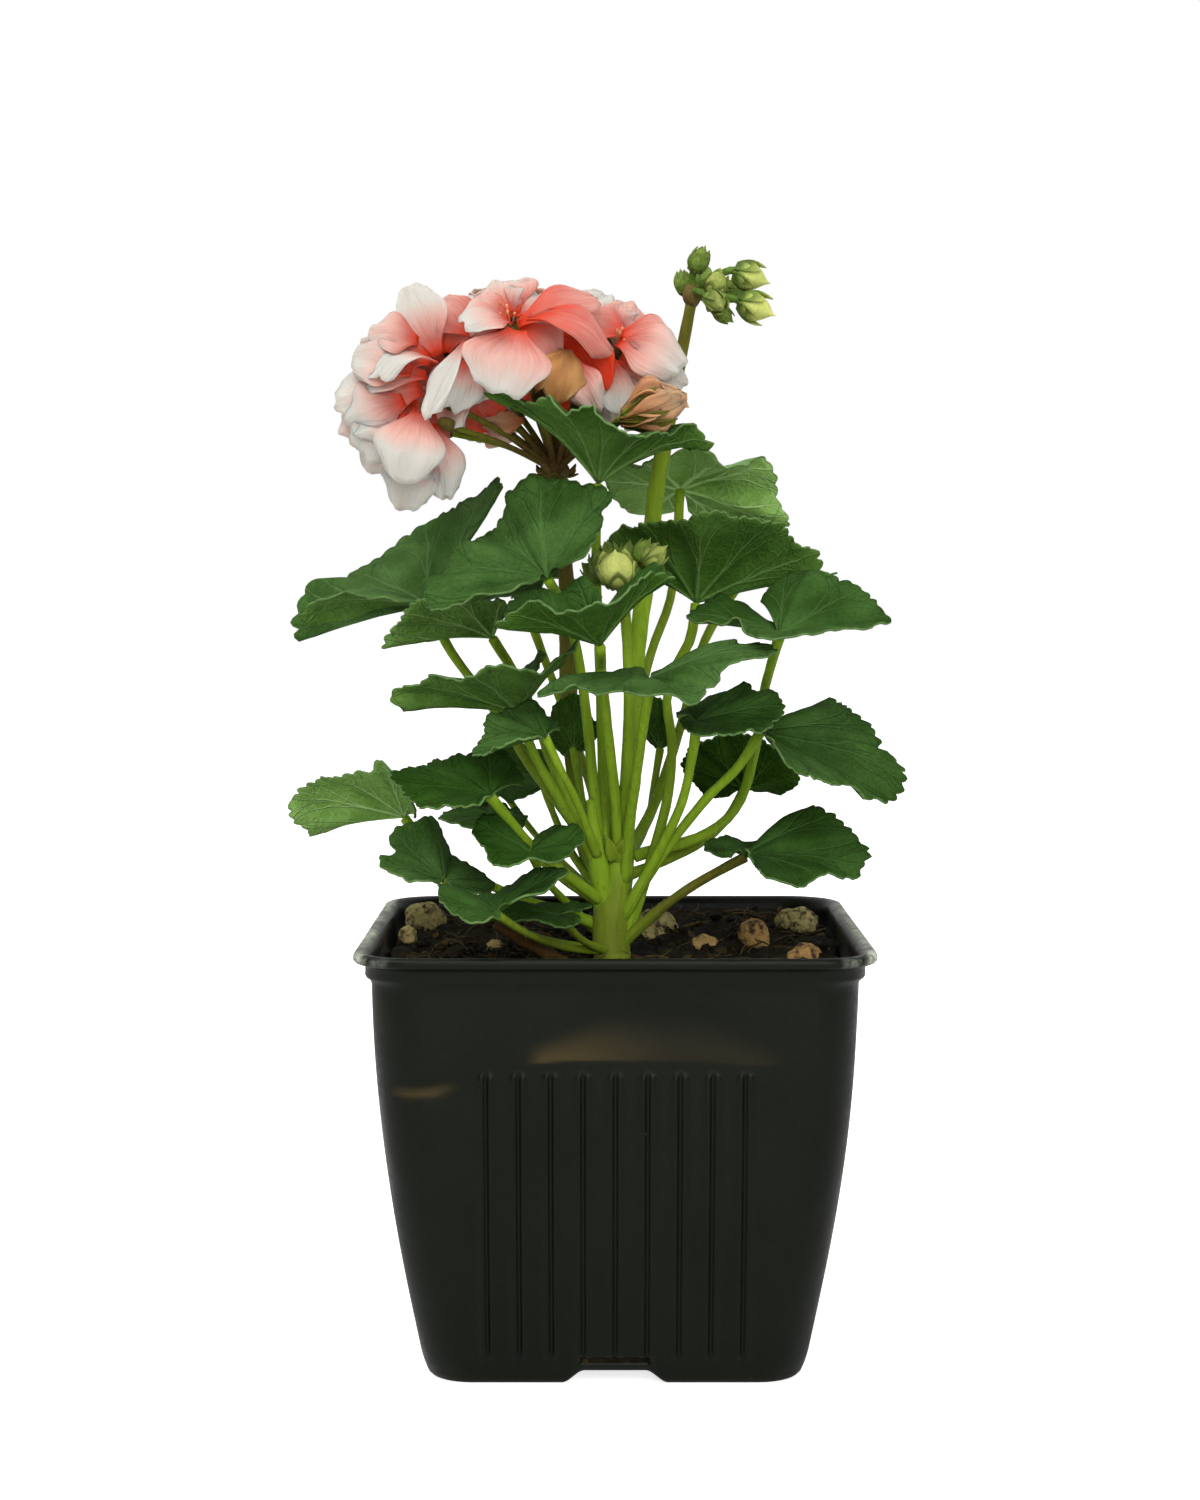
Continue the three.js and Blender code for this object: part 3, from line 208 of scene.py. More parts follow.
def front_dent(across, height):
    """How far the front wall is pushed in, and how much painted brown reflection the dent shows there."""
    lean = clamp((across - DENT_LEFT) / 27) if across < DENT_MIDDLE else clamp((DENT_RIGHT - across) / 26)
    top = DENT_TOP + 6 * ease(lean * 1.4)
    lip = DENT_LIP + 0.9 * ease((across + 22) / 14) - 1.0 * ease((across - 12) / 18)
    rise = ease((height - lip) / (top - lip)) * (1 - ease((height - top) / (DENT_END - top)))
    depth = DENT_DEPTH * ease(lean * 1.6) * rise
    # Painted reflection: the band where the dent tilts up is tinted brown as if it caught warm light.
    band = ease((height - lip + 0.2) / 0.7) * (1 - ease((height - lip) / (top + 1.5 - lip)))
    brown = band * ease(lean * 5) * (0.18 + 0.82 * ease(1 - (across + 17) / 30))
    ridge = 59.8 + 0.11 * (across + 45) + 1.2 * ((across + 38) / 8) ** 2
    small = math.exp(-((height - ridge - 1.2) / 2.2) ** 2 - ((across + 38) / 6.5) ** 2)
    depth += SMALL_DENT_DEPTH * small
    # The small dent's lip gets the same painted brown reflection.
    tip = ease((height - ridge + 0.2) / 0.7) * (1 - ease((height - ridge - 1.0) / 1.8))
    brown = max(brown, 0.8 * tip * math.exp(-((across + 38.5) / 5.5) ** 4))
    return depth, brown


# The mix's surface, in millimetres
SOIL_FRONT = 82.2
SOIL_BACK = 86.3
SOIL_LUMP = 0.7


class Stalk(NamedTuple):
    """A stalk's places on the front view, and its radii in millimetres."""

    path: tuple
    radii: tuple
    brown: tuple = (0, 0)


SHOOTS = (
    Stalk(((612, 962, -10), (611, 925, -9), (616, 880, -7), (622, 840, -6)), (4.0, 3.9, 3.6, 3.1),
          brown=(0.56, 0.48, 0.30, 0.12)),
    Stalk(((606, 915, -8), (600, 875, -10), (594, 835, -11), (591, 800, -11)), (2.6, 2.2, 1.6, 1)),
)
BUD_STALKS = (
    Stalk(((622, 850, -5), (630, 770, 2), (638, 640, 9), (649, 560, 15), (656, 490, 17), (668, 425, 15),
           (683, 345, 12), (691, 303, 9)),
          (2.1, 1.9, 1.8, 1.9, 1.9, 1.8, 1.5, 1.2), brown=(0, 0, 0, 0, 0.04, 0.3, 0.8, 0.75)),
    Stalk(((622, 850, -7), (627, 770, -13), (629, 700, -15), (627, 640, -15), (624, 592, -13)),
          (2.0, 1.4, 1.2, 1.1, 1.1), brown=(0, 0, 0, 0.1, 0.2)),
)
FLOWER_STALK = Stalk(
    ((604, 888, -5), (586, 850, 6), (573, 760, 16), (568, 670, 17), (567, 590, 14), (560, 510, 10),
     (556, 474, 8)),
    (2.0, 1.9, 1.8, 1.9, 1.9, 1.6, 1.7), brown=(0.1, 0.25, 0.5, 0.7, 0.85, 0.95, 1),
)
STEM_FOOT = place(SHOOTS[0].path[0])
STEM_IN_SOIL = 26 * MM
HUB = place((556, 470, 8))


def soil_height(x, y):
    """The mix's height in metres at a place beside the pot's axis."""
    x, y = x / MM, y / MM
    foot = (STEM_FOOT - AXIS) / MM
    slope = blend(SOIL_FRONT, SOIL_BACK, clamp(y / 96 + 0.5))
    lumps = math.sin(x * 0.31 + 0.4) * math.cos(y * 0.27 - 0.8)
    lumps += 0.6 * math.sin(x * 0.57 - y * 0.43)
    hollow = math.exp(-((x - foot.x) ** 2 + (y - foot.y) ** 2) / 300)
    return (slope + SOIL_LUMP * lumps - hollow) * MM


class Granule(NamedTuple):
    """A clay granule: its place on the front view, half its size in millimetres, and its turn."""

    node: str
    spot: tuple
    size: tuple
    turn: float
    orange: float


GRANULES = (
    Granule("granule_back_left", (424, 918, 26), (4.8, 4.2, 4.4), 0.5, 0.05),
    Granule("granule_left", (408, 938, 8), (2.3, 2.2, 2.4), 1.4, 0.2),
    Granule("granule_front_left", (495, 944, 0), (2.6, 2.2, 2.0), 2.1, 0.4),
    Granule("granule_by_stem", (655, 922, 16), (5.6, 4.6, 4.6), 0.9, 0.0),
    Granule("granule_middle", (704, 941, 2), (3.0, 2.4, 2.1), 0.2, 0.7),
    Granule("granule_tall", (753, 936, 4), (3.9, 3.6, 4.7), 1.9, 0.9),
    Granule("granule_right", (797, 922, 22), (5.2, 4.2, 3.4), 0.1, 0.05),
    Granule("granule_front_right", (805, 957, -14), (4.2, 3.0, 2.8), 0.7, 1.0),
)


class Leaf(NamedTuple):
    """A blade from the foot of its veins, and its stalk from there to the stem.

    The lobes run anticlockwise seen from above, each a column, a row and a side of the foot.
    """

    node: str
    foot: tuple
    reach: float
    dome: float
    lobes: tuple
    stalk: tuple
    small: bool = False


LEAVES = (
    Leaf("leaf_crown", (598, 484, -13), 27, 0.42, (
        (552, 418, 0.4), (518, 408, 0.3), (485, 396, 0), (499, 394, -0.2), (527, 403, -0.45),
        (550, 397, -0.6), (566, 407, -0.75), (593, 403, -0.85), (606, 424, -0.9), (629, 436, -0.85),
        (651, 431, -0.7), (673, 434, -0.5), (694, 429, -0.25), (710, 449, 0), (672, 446, 0.3),
        (645, 446, 0.45),
    ), ((596, 540, -7), (598, 620, -2), (603, 760, -4), (606, 850, -8))),
    Leaf("leaf_back_high", (680, 490, 40), 26, 0.15, (
        (662, 517, 0.7), (630, 511, 0.5), (612, 499, 0.3), (605, 477, 0), (624, 466, -0.35),
        (650, 463, -0.6), (699, 451, -0.8), (722, 466, -0.8), (748, 467, -0.7), (764, 460, -0.5),
        (776, 474, -0.25), (780, 496, 0), (790, 523, 0.2), (755, 532, 0.6), (714, 528, 0.8),
    ), ((677, 545, 33), (670, 600, 27), (652, 650, 21), (635, 720, 13), (628, 800, 4), (624, 850, -4))),
    Leaf("leaf_left_broad", (548, 579, -24), 27, 0.12, (
        (583, 556, -0.4), (601, 534, 0), (606, 518, 0.1), (603, 507, 0.2), (612, 497, 0.3),
        (600, 485, 0.45), (581, 482, 0.6), (554, 477, 0.75), (532, 474, 0.8), (516, 493, 0.8),
        (504, 516, 0.75), (484, 536, 0.55), (459, 543, 0.4), (446, 567, 0.2), (421, 585, 0.05),
        (422, 606, 0), (443, 611, -0.2), (484, 598, -0.5), (512, 589, -0.75),
    ), ((561, 603, -14), (576, 645, -6), (587, 720, -7), (598, 840, -9))),
    Leaf("leaf_far_left", (430, 606, 20), 30, 0.12, (
        (453, 548, 0.5), (503, 482, 0.25), (472, 498, 0.45), (437, 519, 0.6), (400, 539, 0.6),
        (367, 561, 0.5), (341, 577, 0.4), (309, 580, 0.25), (301, 594, 0.1), (295, 647, 0),
        (300, 614, -0.25), (334, 592, -0.5), (368, 594, -0.65), (405, 603, -0.8),
    ), ((447, 645, 19), (474, 683, 14), (505, 725, 8), (530, 765, -2), (560, 805, -8), (597, 857, -9))),
    Leaf("leaf_left_under", (493, 638, 2), 24, 0.15, (
        (505, 603, 0.7), (460, 605, 0.8), (433, 640, 0.5), (408, 634, 0.3), (383, 646, 0), (387, 633, -0.2),
        (400, 620, -0.4), (420, 603, -0.6), (455, 596, -0.75), (502, 600, -0.8),
    ), ((512, 669, 8), (526, 695, 8), (541, 733, 0), (554, 768, -9), (578, 820, -11), (600, 872, -10))),
    Leaf("leaf_centre_cup", (600, 646, -34), 23, 0.2, (
        (584, 577, 0.5), (560, 592, 0.4), (529, 588, 0.2), (517, 595, 0.15), (492, 633, 0),
        (513, 610, -0.35), (540, 606, -0.65), (565, 613, -0.8), (590, 606, -0.9), (613, 602, -0.85),
        (634, 588, -0.65), (652, 575, -0.35), (674, 577, 0), (661, 564, 0.3), (644, 567, 0.5),
        (628, 580, 0.7),
    ), ((602, 676, -25), (609, 740, -19), (616, 810, -12), (619, 860, -9))),
    Leaf("leaf_right_cup", (696, 603, 4), 29, 0.12, (
        (606, 540, 0), (617, 525, -0.2), (640, 526, -0.45), (665, 521, -0.65), (697, 521, -0.85),
        (715, 511, -0.9), (735, 515, -0.85), (760, 518, -0.75), (782, 527, -0.6), (800, 542, -0.4),
        (817, 553, -0.2), (822, 568, -0.05), (841, 580, 0), (800, 575, 0.6), (765, 575, 0.85),
    ), (
        (690, 640, 2), (675, 668, 0), (667, 700, -2), (672, 745, -5), (667, 800, -8), (645, 880, -9),
        (626, 935, -10),
    )),
    Leaf("leaf_right_high", (779, 637, -18), 25, 0.12, (
        (758, 617, 0.75), (735, 602, 0.65), (708, 600, 0.4), (692, 609, 0.1), (690, 621, -0.1),
        (715, 625, -0.4), (738, 622, -0.6), (743, 632, -0.8), (765, 638, -0.95), (786, 638, -0.95),
        (804, 633, -0.85), (828, 633, -0.7), (858, 632, -0.45), (880, 626, -0.2), (896, 622, 0),
        (878, 603, 0.3), (858, 587, 0.5), (828, 580, 0.65), (815, 570, 0.7), (797, 573, 0.75),
        (776, 583, 0.8),
    ), ((771, 665, -11), (764, 692, -3), (757, 740, 4), (738, 805, 3), (704, 835, -2), (635, 856, -6))),
    Leaf("leaf_front", (650, 679, -36), 25, 0.12, (
        (628, 674, 0.3), (600, 677, 0.3), (573, 678, 0.2), (547, 687, 0.1), (538, 699, 0), (573, 690, -0.4),
        (590, 695, -0.6), (603, 694, -0.7), (624, 686, -0.85), (638, 695, -0.95), (665, 695, -0.95),
        (688, 703, -0.9), (703, 698, -0.8), (709, 687, -0.75), (720, 684, -0.7), (724, 667, -0.6),
        (741, 661, -0.45), (758, 662, -0.25), (779, 649, 0), (755, 643, 0.3), (730, 641, 0.5),
        (706, 652, 0.65), (682, 665, 0.75),
    ), ((645, 715, -32), (638, 765, -22), (629, 830, -12), (625, 880, -9))),
    Leaf("leaf_left_mid", (519, 713, -14), 26, 0.1, (
        (545, 652, 0.6), (520, 668, 0.75), (460, 690, 0.6), (401, 709, 0.15), (386, 692, 0),
        (403, 687, -0.2), (436, 679, -0.5), (470, 677, -0.7), (491, 667, -0.85), (508, 666, -0.9),
        (525, 672, -0.85), (551, 667, -0.55), (580, 643, 0),
    ), ((532, 750, -13), (560, 800, -12), (597, 860, -10))),
    Leaf("leaf_middle", (546, 737, -32), 17, 0.1, (
        (557, 723, 0.5), (545, 712, 0.6), (535, 702, 0.65), (515, 707, 0.65), (497, 713, 0.55),
        (484, 719, 0.4), (484, 736, 0.2), (471, 755, 0), (486, 756, -0.4), (503, 746, -0.65),
        (528, 740, -0.85),
    ), ((560, 768, -28), (578, 805, -20), (597, 855, -12)), True),
    Leaf("leaf_middle_back", (574, 749, 3), 13, 0.1, (
        (558, 750, 0.2), (549, 737, 0.4), (549, 715, 0.6), (561, 699, 0.6), (577, 693, 0.5),
        (587, 699, 0.2), (589, 713, 0), (597, 729, -0.2), (588, 745, -0.5),
    ), ((580, 790, -2), (598, 862, -9)), True),
    Leaf("leaf_fan", (541, 777, 20), 16, 0.1, (
        (528, 757, 0.7), (500, 757, 0.5), (474, 763, 0), (490, 750, -0.4), (510, 745, -0.7),
        (530, 748, -0.8), (546, 757, -0.7), (557, 783, -0.3),
    ), ((555, 818, 13), (573, 855, 5), (600, 892, -5)), True),
    Leaf("leaf_far_left_low", (405, 817, 4), 25, 0.12, (
        (385, 805, 0.8), (363, 804, 0.7), (344, 820, 0.5), (328, 831, 0.35), (312, 834, 0.2),
        (303, 828, 0.1), (290, 820, 0.05), (286, 804, 0), (299, 790, -0.15), (325, 779, -0.3),
        (356, 774, -0.45), (372, 771, -0.55), (377, 762, -0.6), (390, 767, -0.65), (402, 777, -0.7),
        (411, 800, -0.75),
    ), ((430, 850, 3), (500, 890, 0), (600, 925, -9))),
    Leaf("leaf_left_low", (491, 796, -24), 24, 0.12, (
        (522, 774, 0.6), (503, 754, 0.75), (480, 751, 0.8), (459, 754, 0.8), (440, 760, 0.7),
        (422, 771, 0.5), (405, 772, 0.3), (385, 777, 0), (402, 786, -0.2), (405, 796, -0.35),
        (415, 806, -0.5), (434, 810, -0.65), (452, 814, -0.75), (474, 806, -0.85),
    ), ((513, 824, -20), (536, 850, -15), (600, 900, -10))),
    Leaf("leaf_low_back", (492, 817, 24), 17, 0.1, (
        (516, 832, -0.5), (528, 819, 0), (512, 807, 0.6), (490, 802, 0.8), (460, 807, 0.6), (439, 818, 0),
        (452, 827, -0.4), (474, 829, -0.7),
    ), ((530, 852, 17), (575, 888, 2), (608, 908, -7)), True),
    Leaf("leaf_low_saddle", (530, 853, -34), 16, 0.1, (
        (516, 838, 0.5), (497, 817, 0.5), (477, 818, 0.2), (471, 835, 0), (487, 851, -0.4),
        (490, 862, -0.6), (507, 868, -0.8), (530, 862, -0.9), (549, 862, -0.8), (572, 852, -0.5),
        (585, 836, 0), (580, 826, 0.2), (567, 824, 0.4), (551, 830, 0.5),
    ), ((548, 883, -20), (585, 920, -6), (606, 940, -8)), True),
    Leaf("leaf_low_left", (444, 881, -20), 17, 0.1, (
        (474, 897, -0.6), (497, 887, -0.2), (487, 877, 0.1), (470, 866, 0.4), (450, 855, 0.6),
        (443, 836, 0.7), (435, 820, 0.6), (417, 819, 0.4), (398, 828, 0.25), (388, 843, 0.15),
        (394, 853, 0), (378, 858, -0.1), (400, 876, -0.5), (422, 883, -0.8),
    ), ((490, 915, -18), (545, 940, -15), (606, 950, -11)), True),
    Leaf("leaf_low_front", (497, 913, -42), 18, 0.1, (
        (530, 897, -0.5), (563, 879, -0.05), (568, 871, 0.1), (552, 867, 0.3), (529, 875, 0.5),
        (503, 890, 0.7), (470, 897, 0.6), (448, 888, 0.35), (436, 889, 0), (440, 901, -0.3),
        (455, 911, -0.5), (467, 920, -0.7), (484, 920, -0.9),
    ), ((530, 935, -34), (570, 948, -21), (608, 950, -11)), True),
    Leaf("leaf_low_centre", (560, 916, -30), 13, 0.1, (
        (592, 906, 0), (574, 902, 0.5), (552, 903, 0.7), (529, 903, 0.5), (506, 907, 0.2), (495, 917, 0),
        (506, 923, -0.3), (546, 922, -0.7), (566, 929, -0.7), (581, 919, -0.4),
    ), ((582, 940, -22), (608, 952, -11)), True),
    Leaf("leaf_low_right", (745, 856, -20), 26, 0.14, (
        (755, 866, -0.5), (767, 878, -0.6), (784, 888, -0.65), (802, 889, -0.6), (825, 876, -0.5),
        (857, 880, -0.2), (862, 868, -0.05), (869, 856, 0), (860, 835, 0.25), (841, 820, 0.4),
        (812, 810, 0.55), (794, 816, 0.65), (779, 833, 0.7), (762, 841, 0.7), (746, 843, 0.6),
        (731, 837, 0.4), (713, 838, 0.15), (703, 845, 0), (714, 855, -0.3),
    ), ((706, 878, -17), (668, 903, -14), (620, 945, -10))),
    Leaf("leaf_right_lobe", (760, 732, -18), 29, 0.12, (
        (779, 758, -0.8), (799, 777, -0.7), (822, 784, -0.6), (850, 789, -0.45), (899, 804, -0.1),
        (905, 783, 0), (895, 758, 0.1), (880, 751, 0.15), (882, 742, 0.2), (857, 715, 0.35),
        (845, 703, 0.45), (830, 700, 0.55), (804, 718, 0.7), (785, 721, 0.8),
    ), ((738, 767, -17), (706, 799, -15), (668, 847, -12), (624, 912, -10))),
    Leaf("leaf_right_ruffled", (697, 722, -26), 20, 0.14, (
        (684, 728, -0.6), (700, 738, -0.8), (728, 738, -0.8), (756, 733, -0.6), (778, 725, -0.2),
        (783, 713, 0), (778, 690, 0.4), (759, 691, 0.6), (746, 684, 0.7), (726, 691, 0.8), (704, 701, 0.8),
        (679, 713, 0.6),
    ), ((691, 762, -22), (682, 802, -18), (656, 857, -13), (623, 918, -10))),
    Leaf("leaf_right_shade", (744, 790, 18), 20, 0.1, (
        (713, 796, 0.3), (692, 783, 0.1), (683, 768, 0), (688, 748, -0.3), (707, 737, -0.55),
        (735, 733, -0.7), (765, 742, -0.6), (788, 757, -0.3), (799, 780, 0), (790, 792, 0.2),
        (768, 794, 0.4),
    ), ((730, 815, 14), (702, 842, 6), (622, 878, -6))),
    Leaf("leaf_inner", (661, 749, 20), 12, 0.1, (
        (650, 741, 0.5), (637, 728, 0.2), (636, 713, 0), (644, 701, -0.2), (656, 697, -0.4),
        (666, 712, -0.5), (672, 735, -0.5),
    ), ((654, 785, 15), (648, 820, 8), (622, 874, -6)), True),
    Leaf("leaf_hidden_left", (520, 590, 38), 25, 0.12, (
        (525, 598, -0.7), (545, 585, -0.4), (572, 560, 0.2), (570, 535, 0.6), (540, 528, 0.8),
        (500, 530, 0.85), (458, 550, 0.5), (440, 580, 0), (470, 596, -0.4), (500, 600, -0.7),
    ), ((545, 660, 34), (575, 740, 28), (600, 820, 8), (606, 870, -4))),
    Leaf("leaf_hidden_right", (745, 574, 42), 25, 0.12, (
        (722, 590, -0.7), (755, 588, -0.8), (795, 576, -0.3), (808, 560, 0.2), (790, 543, 0.7),
        (755, 540, 0.9), (715, 545, 0.8), (685, 560, 0.3), (692, 582, -0.3),
    ), ((705, 640, 34), (682, 722, 22), (652, 810, 9), (624, 858, -5))),
    Leaf("leaf_hidden_low", (500, 786, 42), 19, 0.1, (
        (510, 800, -0.7), (540, 792, -0.4), (557, 775, 0.1), (540, 760, 0.7), (505, 754, 0.9),
        (468, 760, 0.6), (444, 776, 0), (462, 792, -0.5), (488, 799, -0.8),
    ), ((530, 828, 36), (570, 870, 14), (608, 904, -7)), True),
)


SHOULDER_TURN = 0.3
SHOULDER_REACH = 0.66
BASAL_REACH = 0.8


class Petal(NamedTuple):
    """A petal seen from the front: its claw, its tip, the way it faces, its width and its tint.

    Tint runs from 0, red all over, to 2, white to its claw. A tint from 0 to -1 wilts the petal.
    """

    claw: tuple
    tip: tuple
    face: tuple
    width: float
    tint: float
    bow: float = 0.12


FRONT_PETALS = [Petal(*petal) for petal in (
    ((438, 355, -9), (409, 283, -8), (-0.2, -1, 0.2), 9.6, 1.15, 0.08),
    ((430, 360, -9), (357, 350, -10), (-0.3, -1, 0.4), 11.0, 0.85),
    ((436, 352, -8), (392, 312, -4), (-0.4, -1, 0.4), 9.0, 0.95),
    ((436, 363, -12), (373, 368, -19), (-0.1, -0.35, 1), 8.0, 1.3, 0.16),
    ((421, 390, -9), (335, 402, -12), (-0.3, -1, 0.1), 12.5, 0.95),
    ((416, 398, -8), (342, 438, -8), (-0.3, -1, -0.1), 11.0, 0.8),
    ((413, 404, -9), (366, 470, -10), (-0.3, -1, -0.1), 11.5, 0.9),
    ((421, 412, -15), (402, 482, -19), (-0.1, -1, -0.1), 12.6, 1.3, 0.18),
    ((424, 430, -9), (402, 512, -9), (-0.1, -1, -0.2), 10.5, 1.2, 0.06),
    ((432, 424, -8), (448, 500, -9), (0.25, -1, -0.1), 8.6, 1.15, 0.08),
    ((426, 428, -6), (438, 486, -8), (0.3, -1, 0), 8.0, 0.35, 0.05),
    ((426, 376, -11), (350, 378, -11), (-0.2, -0.8, 0.6), 9.0, 1.1),
    ((467, 341, -19), (427, 422, -23), (-0.78, -0.62, 0.1), 7.4, 2.6, 0.08),
    ((474, 336, -8), (433, 299, -6), (0.1, -1, 0.5), 9.0, 0.55, 0.05),
    ((446, 352, -7), (468, 306, -4), (-0.1, -1, 0.4), 8.5, 0.6),
    ((510, 322, -14), (461, 322, -22), (-0.2, -0.8, 0.6), 8.6, 0.95, 0.14),
    ((510, 320, -12), (473, 304, -13), (-0.1, -0.7, 0.75), 8.0, 0.62),
    ((513, 316, -9), (500, 281, -4), (0, -0.9, 0.5), 12.0, 0.8),
    ((514, 316, -9), (536, 290, -6), (0.1, -0.8, 0.6), 9.0, 1.0),
    ((517, 331, -17), (498, 396, -22), (-0.05, -1, 0.05), 15.6, 0.92, 0.2),
    ((518, 325, -14), (600, 300, -15), (0.1, -0.75, 0.65), 8.4, 0.40, 0.14),
    ((590, 318, -8), (606, 291, -4), (0.1, -0.9, 0.4), 7.4, 1.35, 0.06),
    ((528, 318, -15), (614, 345, -21), (0.15, -0.75, 0.65), 6.8, 0.36, 0.18),
    ((524, 325, -13), (552, 362, -15), (0.1, -1, -0.1), 10.0, 0.5, 0.1),
    ((566, 350, -14), (556, 401, -19), (0, -1, 0), 10.4, -1, 0.16),
    ((572, 336, -11), (604, 394, -16), (-0.2, -1, 0.1), 10.4, 0.02, 0.06),
    ((575, 362, -16), (594, 408, -20), (-0.3, -1, 0), 7.4, 0.8, 0.1),
    ((540, 332, -9), (590, 376, -11), (0, -1, 0), 11.0, 0.1, 0.04),
    ((620, 338, -9), (628, 300, -6), (0.2, -0.9, 0.4), 8.6, 0.62),
    ((622, 336, -9), (642, 316, -8), (0.4, -0.8, 0.5), 7.0, 0.7),
    ((626, 336, -11), (583, 318, -11), (-0.1, -0.8, 0.6), 7.2, 0.5),
    ((620, 336, -11), (672, 343, -14), (0.3, -0.85, 0.5), 8.6, 0.6, 0.16),
    ((618, 342, -13), (683, 368, -18), (0.3, -0.95, 0.2), 10.2, 0.9, 0.14),
    ((620, 358, -11), (685, 386, -14), (0.3, -1, 0), 8.8, 1.1, 0.1),
    ((612, 362, -12), (620, 416, -15), (0.1, -1, -0.1), 8.4, 1.25, 0.1),
    ((604, 352, -9), (612, 402, -10), (0, -1, 0), 9.0, 0.3, 0.05),
    ((470, 362, -8), (449, 412, -11), (-0.1, -1, 0), 9.4, 1.25, 0.12),
    ((476, 366, -6), (474, 404, -9), (0.1, -1, 0), 8.6, 1.1),
    ((452, 390, -6), (455, 430, -9), (-0.3, -1, -0.1), 6.0, 0.8, 0.06),
    ((500, 428, 2), (474, 404, -2), (-0.1, -0.9, -0.4), 8.6, 0.18, 0.12),
    ((524, 420, 2), (483, 425, -1), (-0.1, -0.9, -0.3), 4.8, -0.7, 0.1),
    ((540, 396, 0), (512, 384, -3), (-0.1, -0.9, -0.4), 8.0, 0.2, 0.1),
    ((446, 372, 2), (392, 350, 0), (-0.3, -1, 0.1), 13.0, 0.5),
    ((442, 385, 2), (386, 392, 0), (-0.3, -1, 0), 13.0, 0.55),
    ((440, 396, 1), (404, 442, 0), (-0.3, -1, -0.1), 13.0, 0.5),
    ((450, 350, 2), (424, 318, 2), (-0.2, -1, 0.2), 13.0, 0.45),
    ((470, 352, 3), (462, 402, 0), (-0.1, -1, 0), 13.0, 0.55),
    ((500, 336, 2), (470, 330, 0), (-0.1, -1, 0.2), 12.0, 0.4),
    ((560, 330, 3), (556, 372, 0), (0, -1, 0), 13.0, 0.3),
    ((592, 344, 2), (600, 386, 0), (0, -1, 0), 13.0, 0.35),
    ((626, 346, 2), (650, 330, 0), (0.2, -1, 0.2), 12.0, 0.55),
    ((628, 352, 2), (650, 388, 0), (0.2, -1, 0), 12.0, 0.6),
    ((584, 326, 2), (578, 304, 0), (0.1, -1, 0.3), 12.0, 0.6),
    ((418, 342, -10), (371, 331, -13), (-0.3, -0.8, 0.5), 9.0, 0.75, 0.12),
    ((412, 372, -13), (352, 356, -14), (-0.3, -0.9, 0.4), 10.0, 0.9, 0.12),
    ((404, 400, -12), (346, 424, -14), (-0.3, -1, 0), 11.0, 1.0, 0.1),
    ((402, 410, -12), (358, 456, -12), (-0.3, -1, -0.1), 11.0, 1.05, 0.1),
    ((560, 404, -2), (590, 392, -6), (0.1, -0.9, -0.4), 8.0, 0.25, 0.1),
)]


class Floret(NamedTuple):
    """The heart where the petals meet, the way the floret faces, and its petals' tips.

    A tip is a column, a row and a side of the heart, with the petal's length, width and tint.
    A ring is the length in millimetres of five more petals, spread evenly round the heart.
    """

    heart: tuple
    face: tuple
    petals: tuple = ()
    ring: float = 0


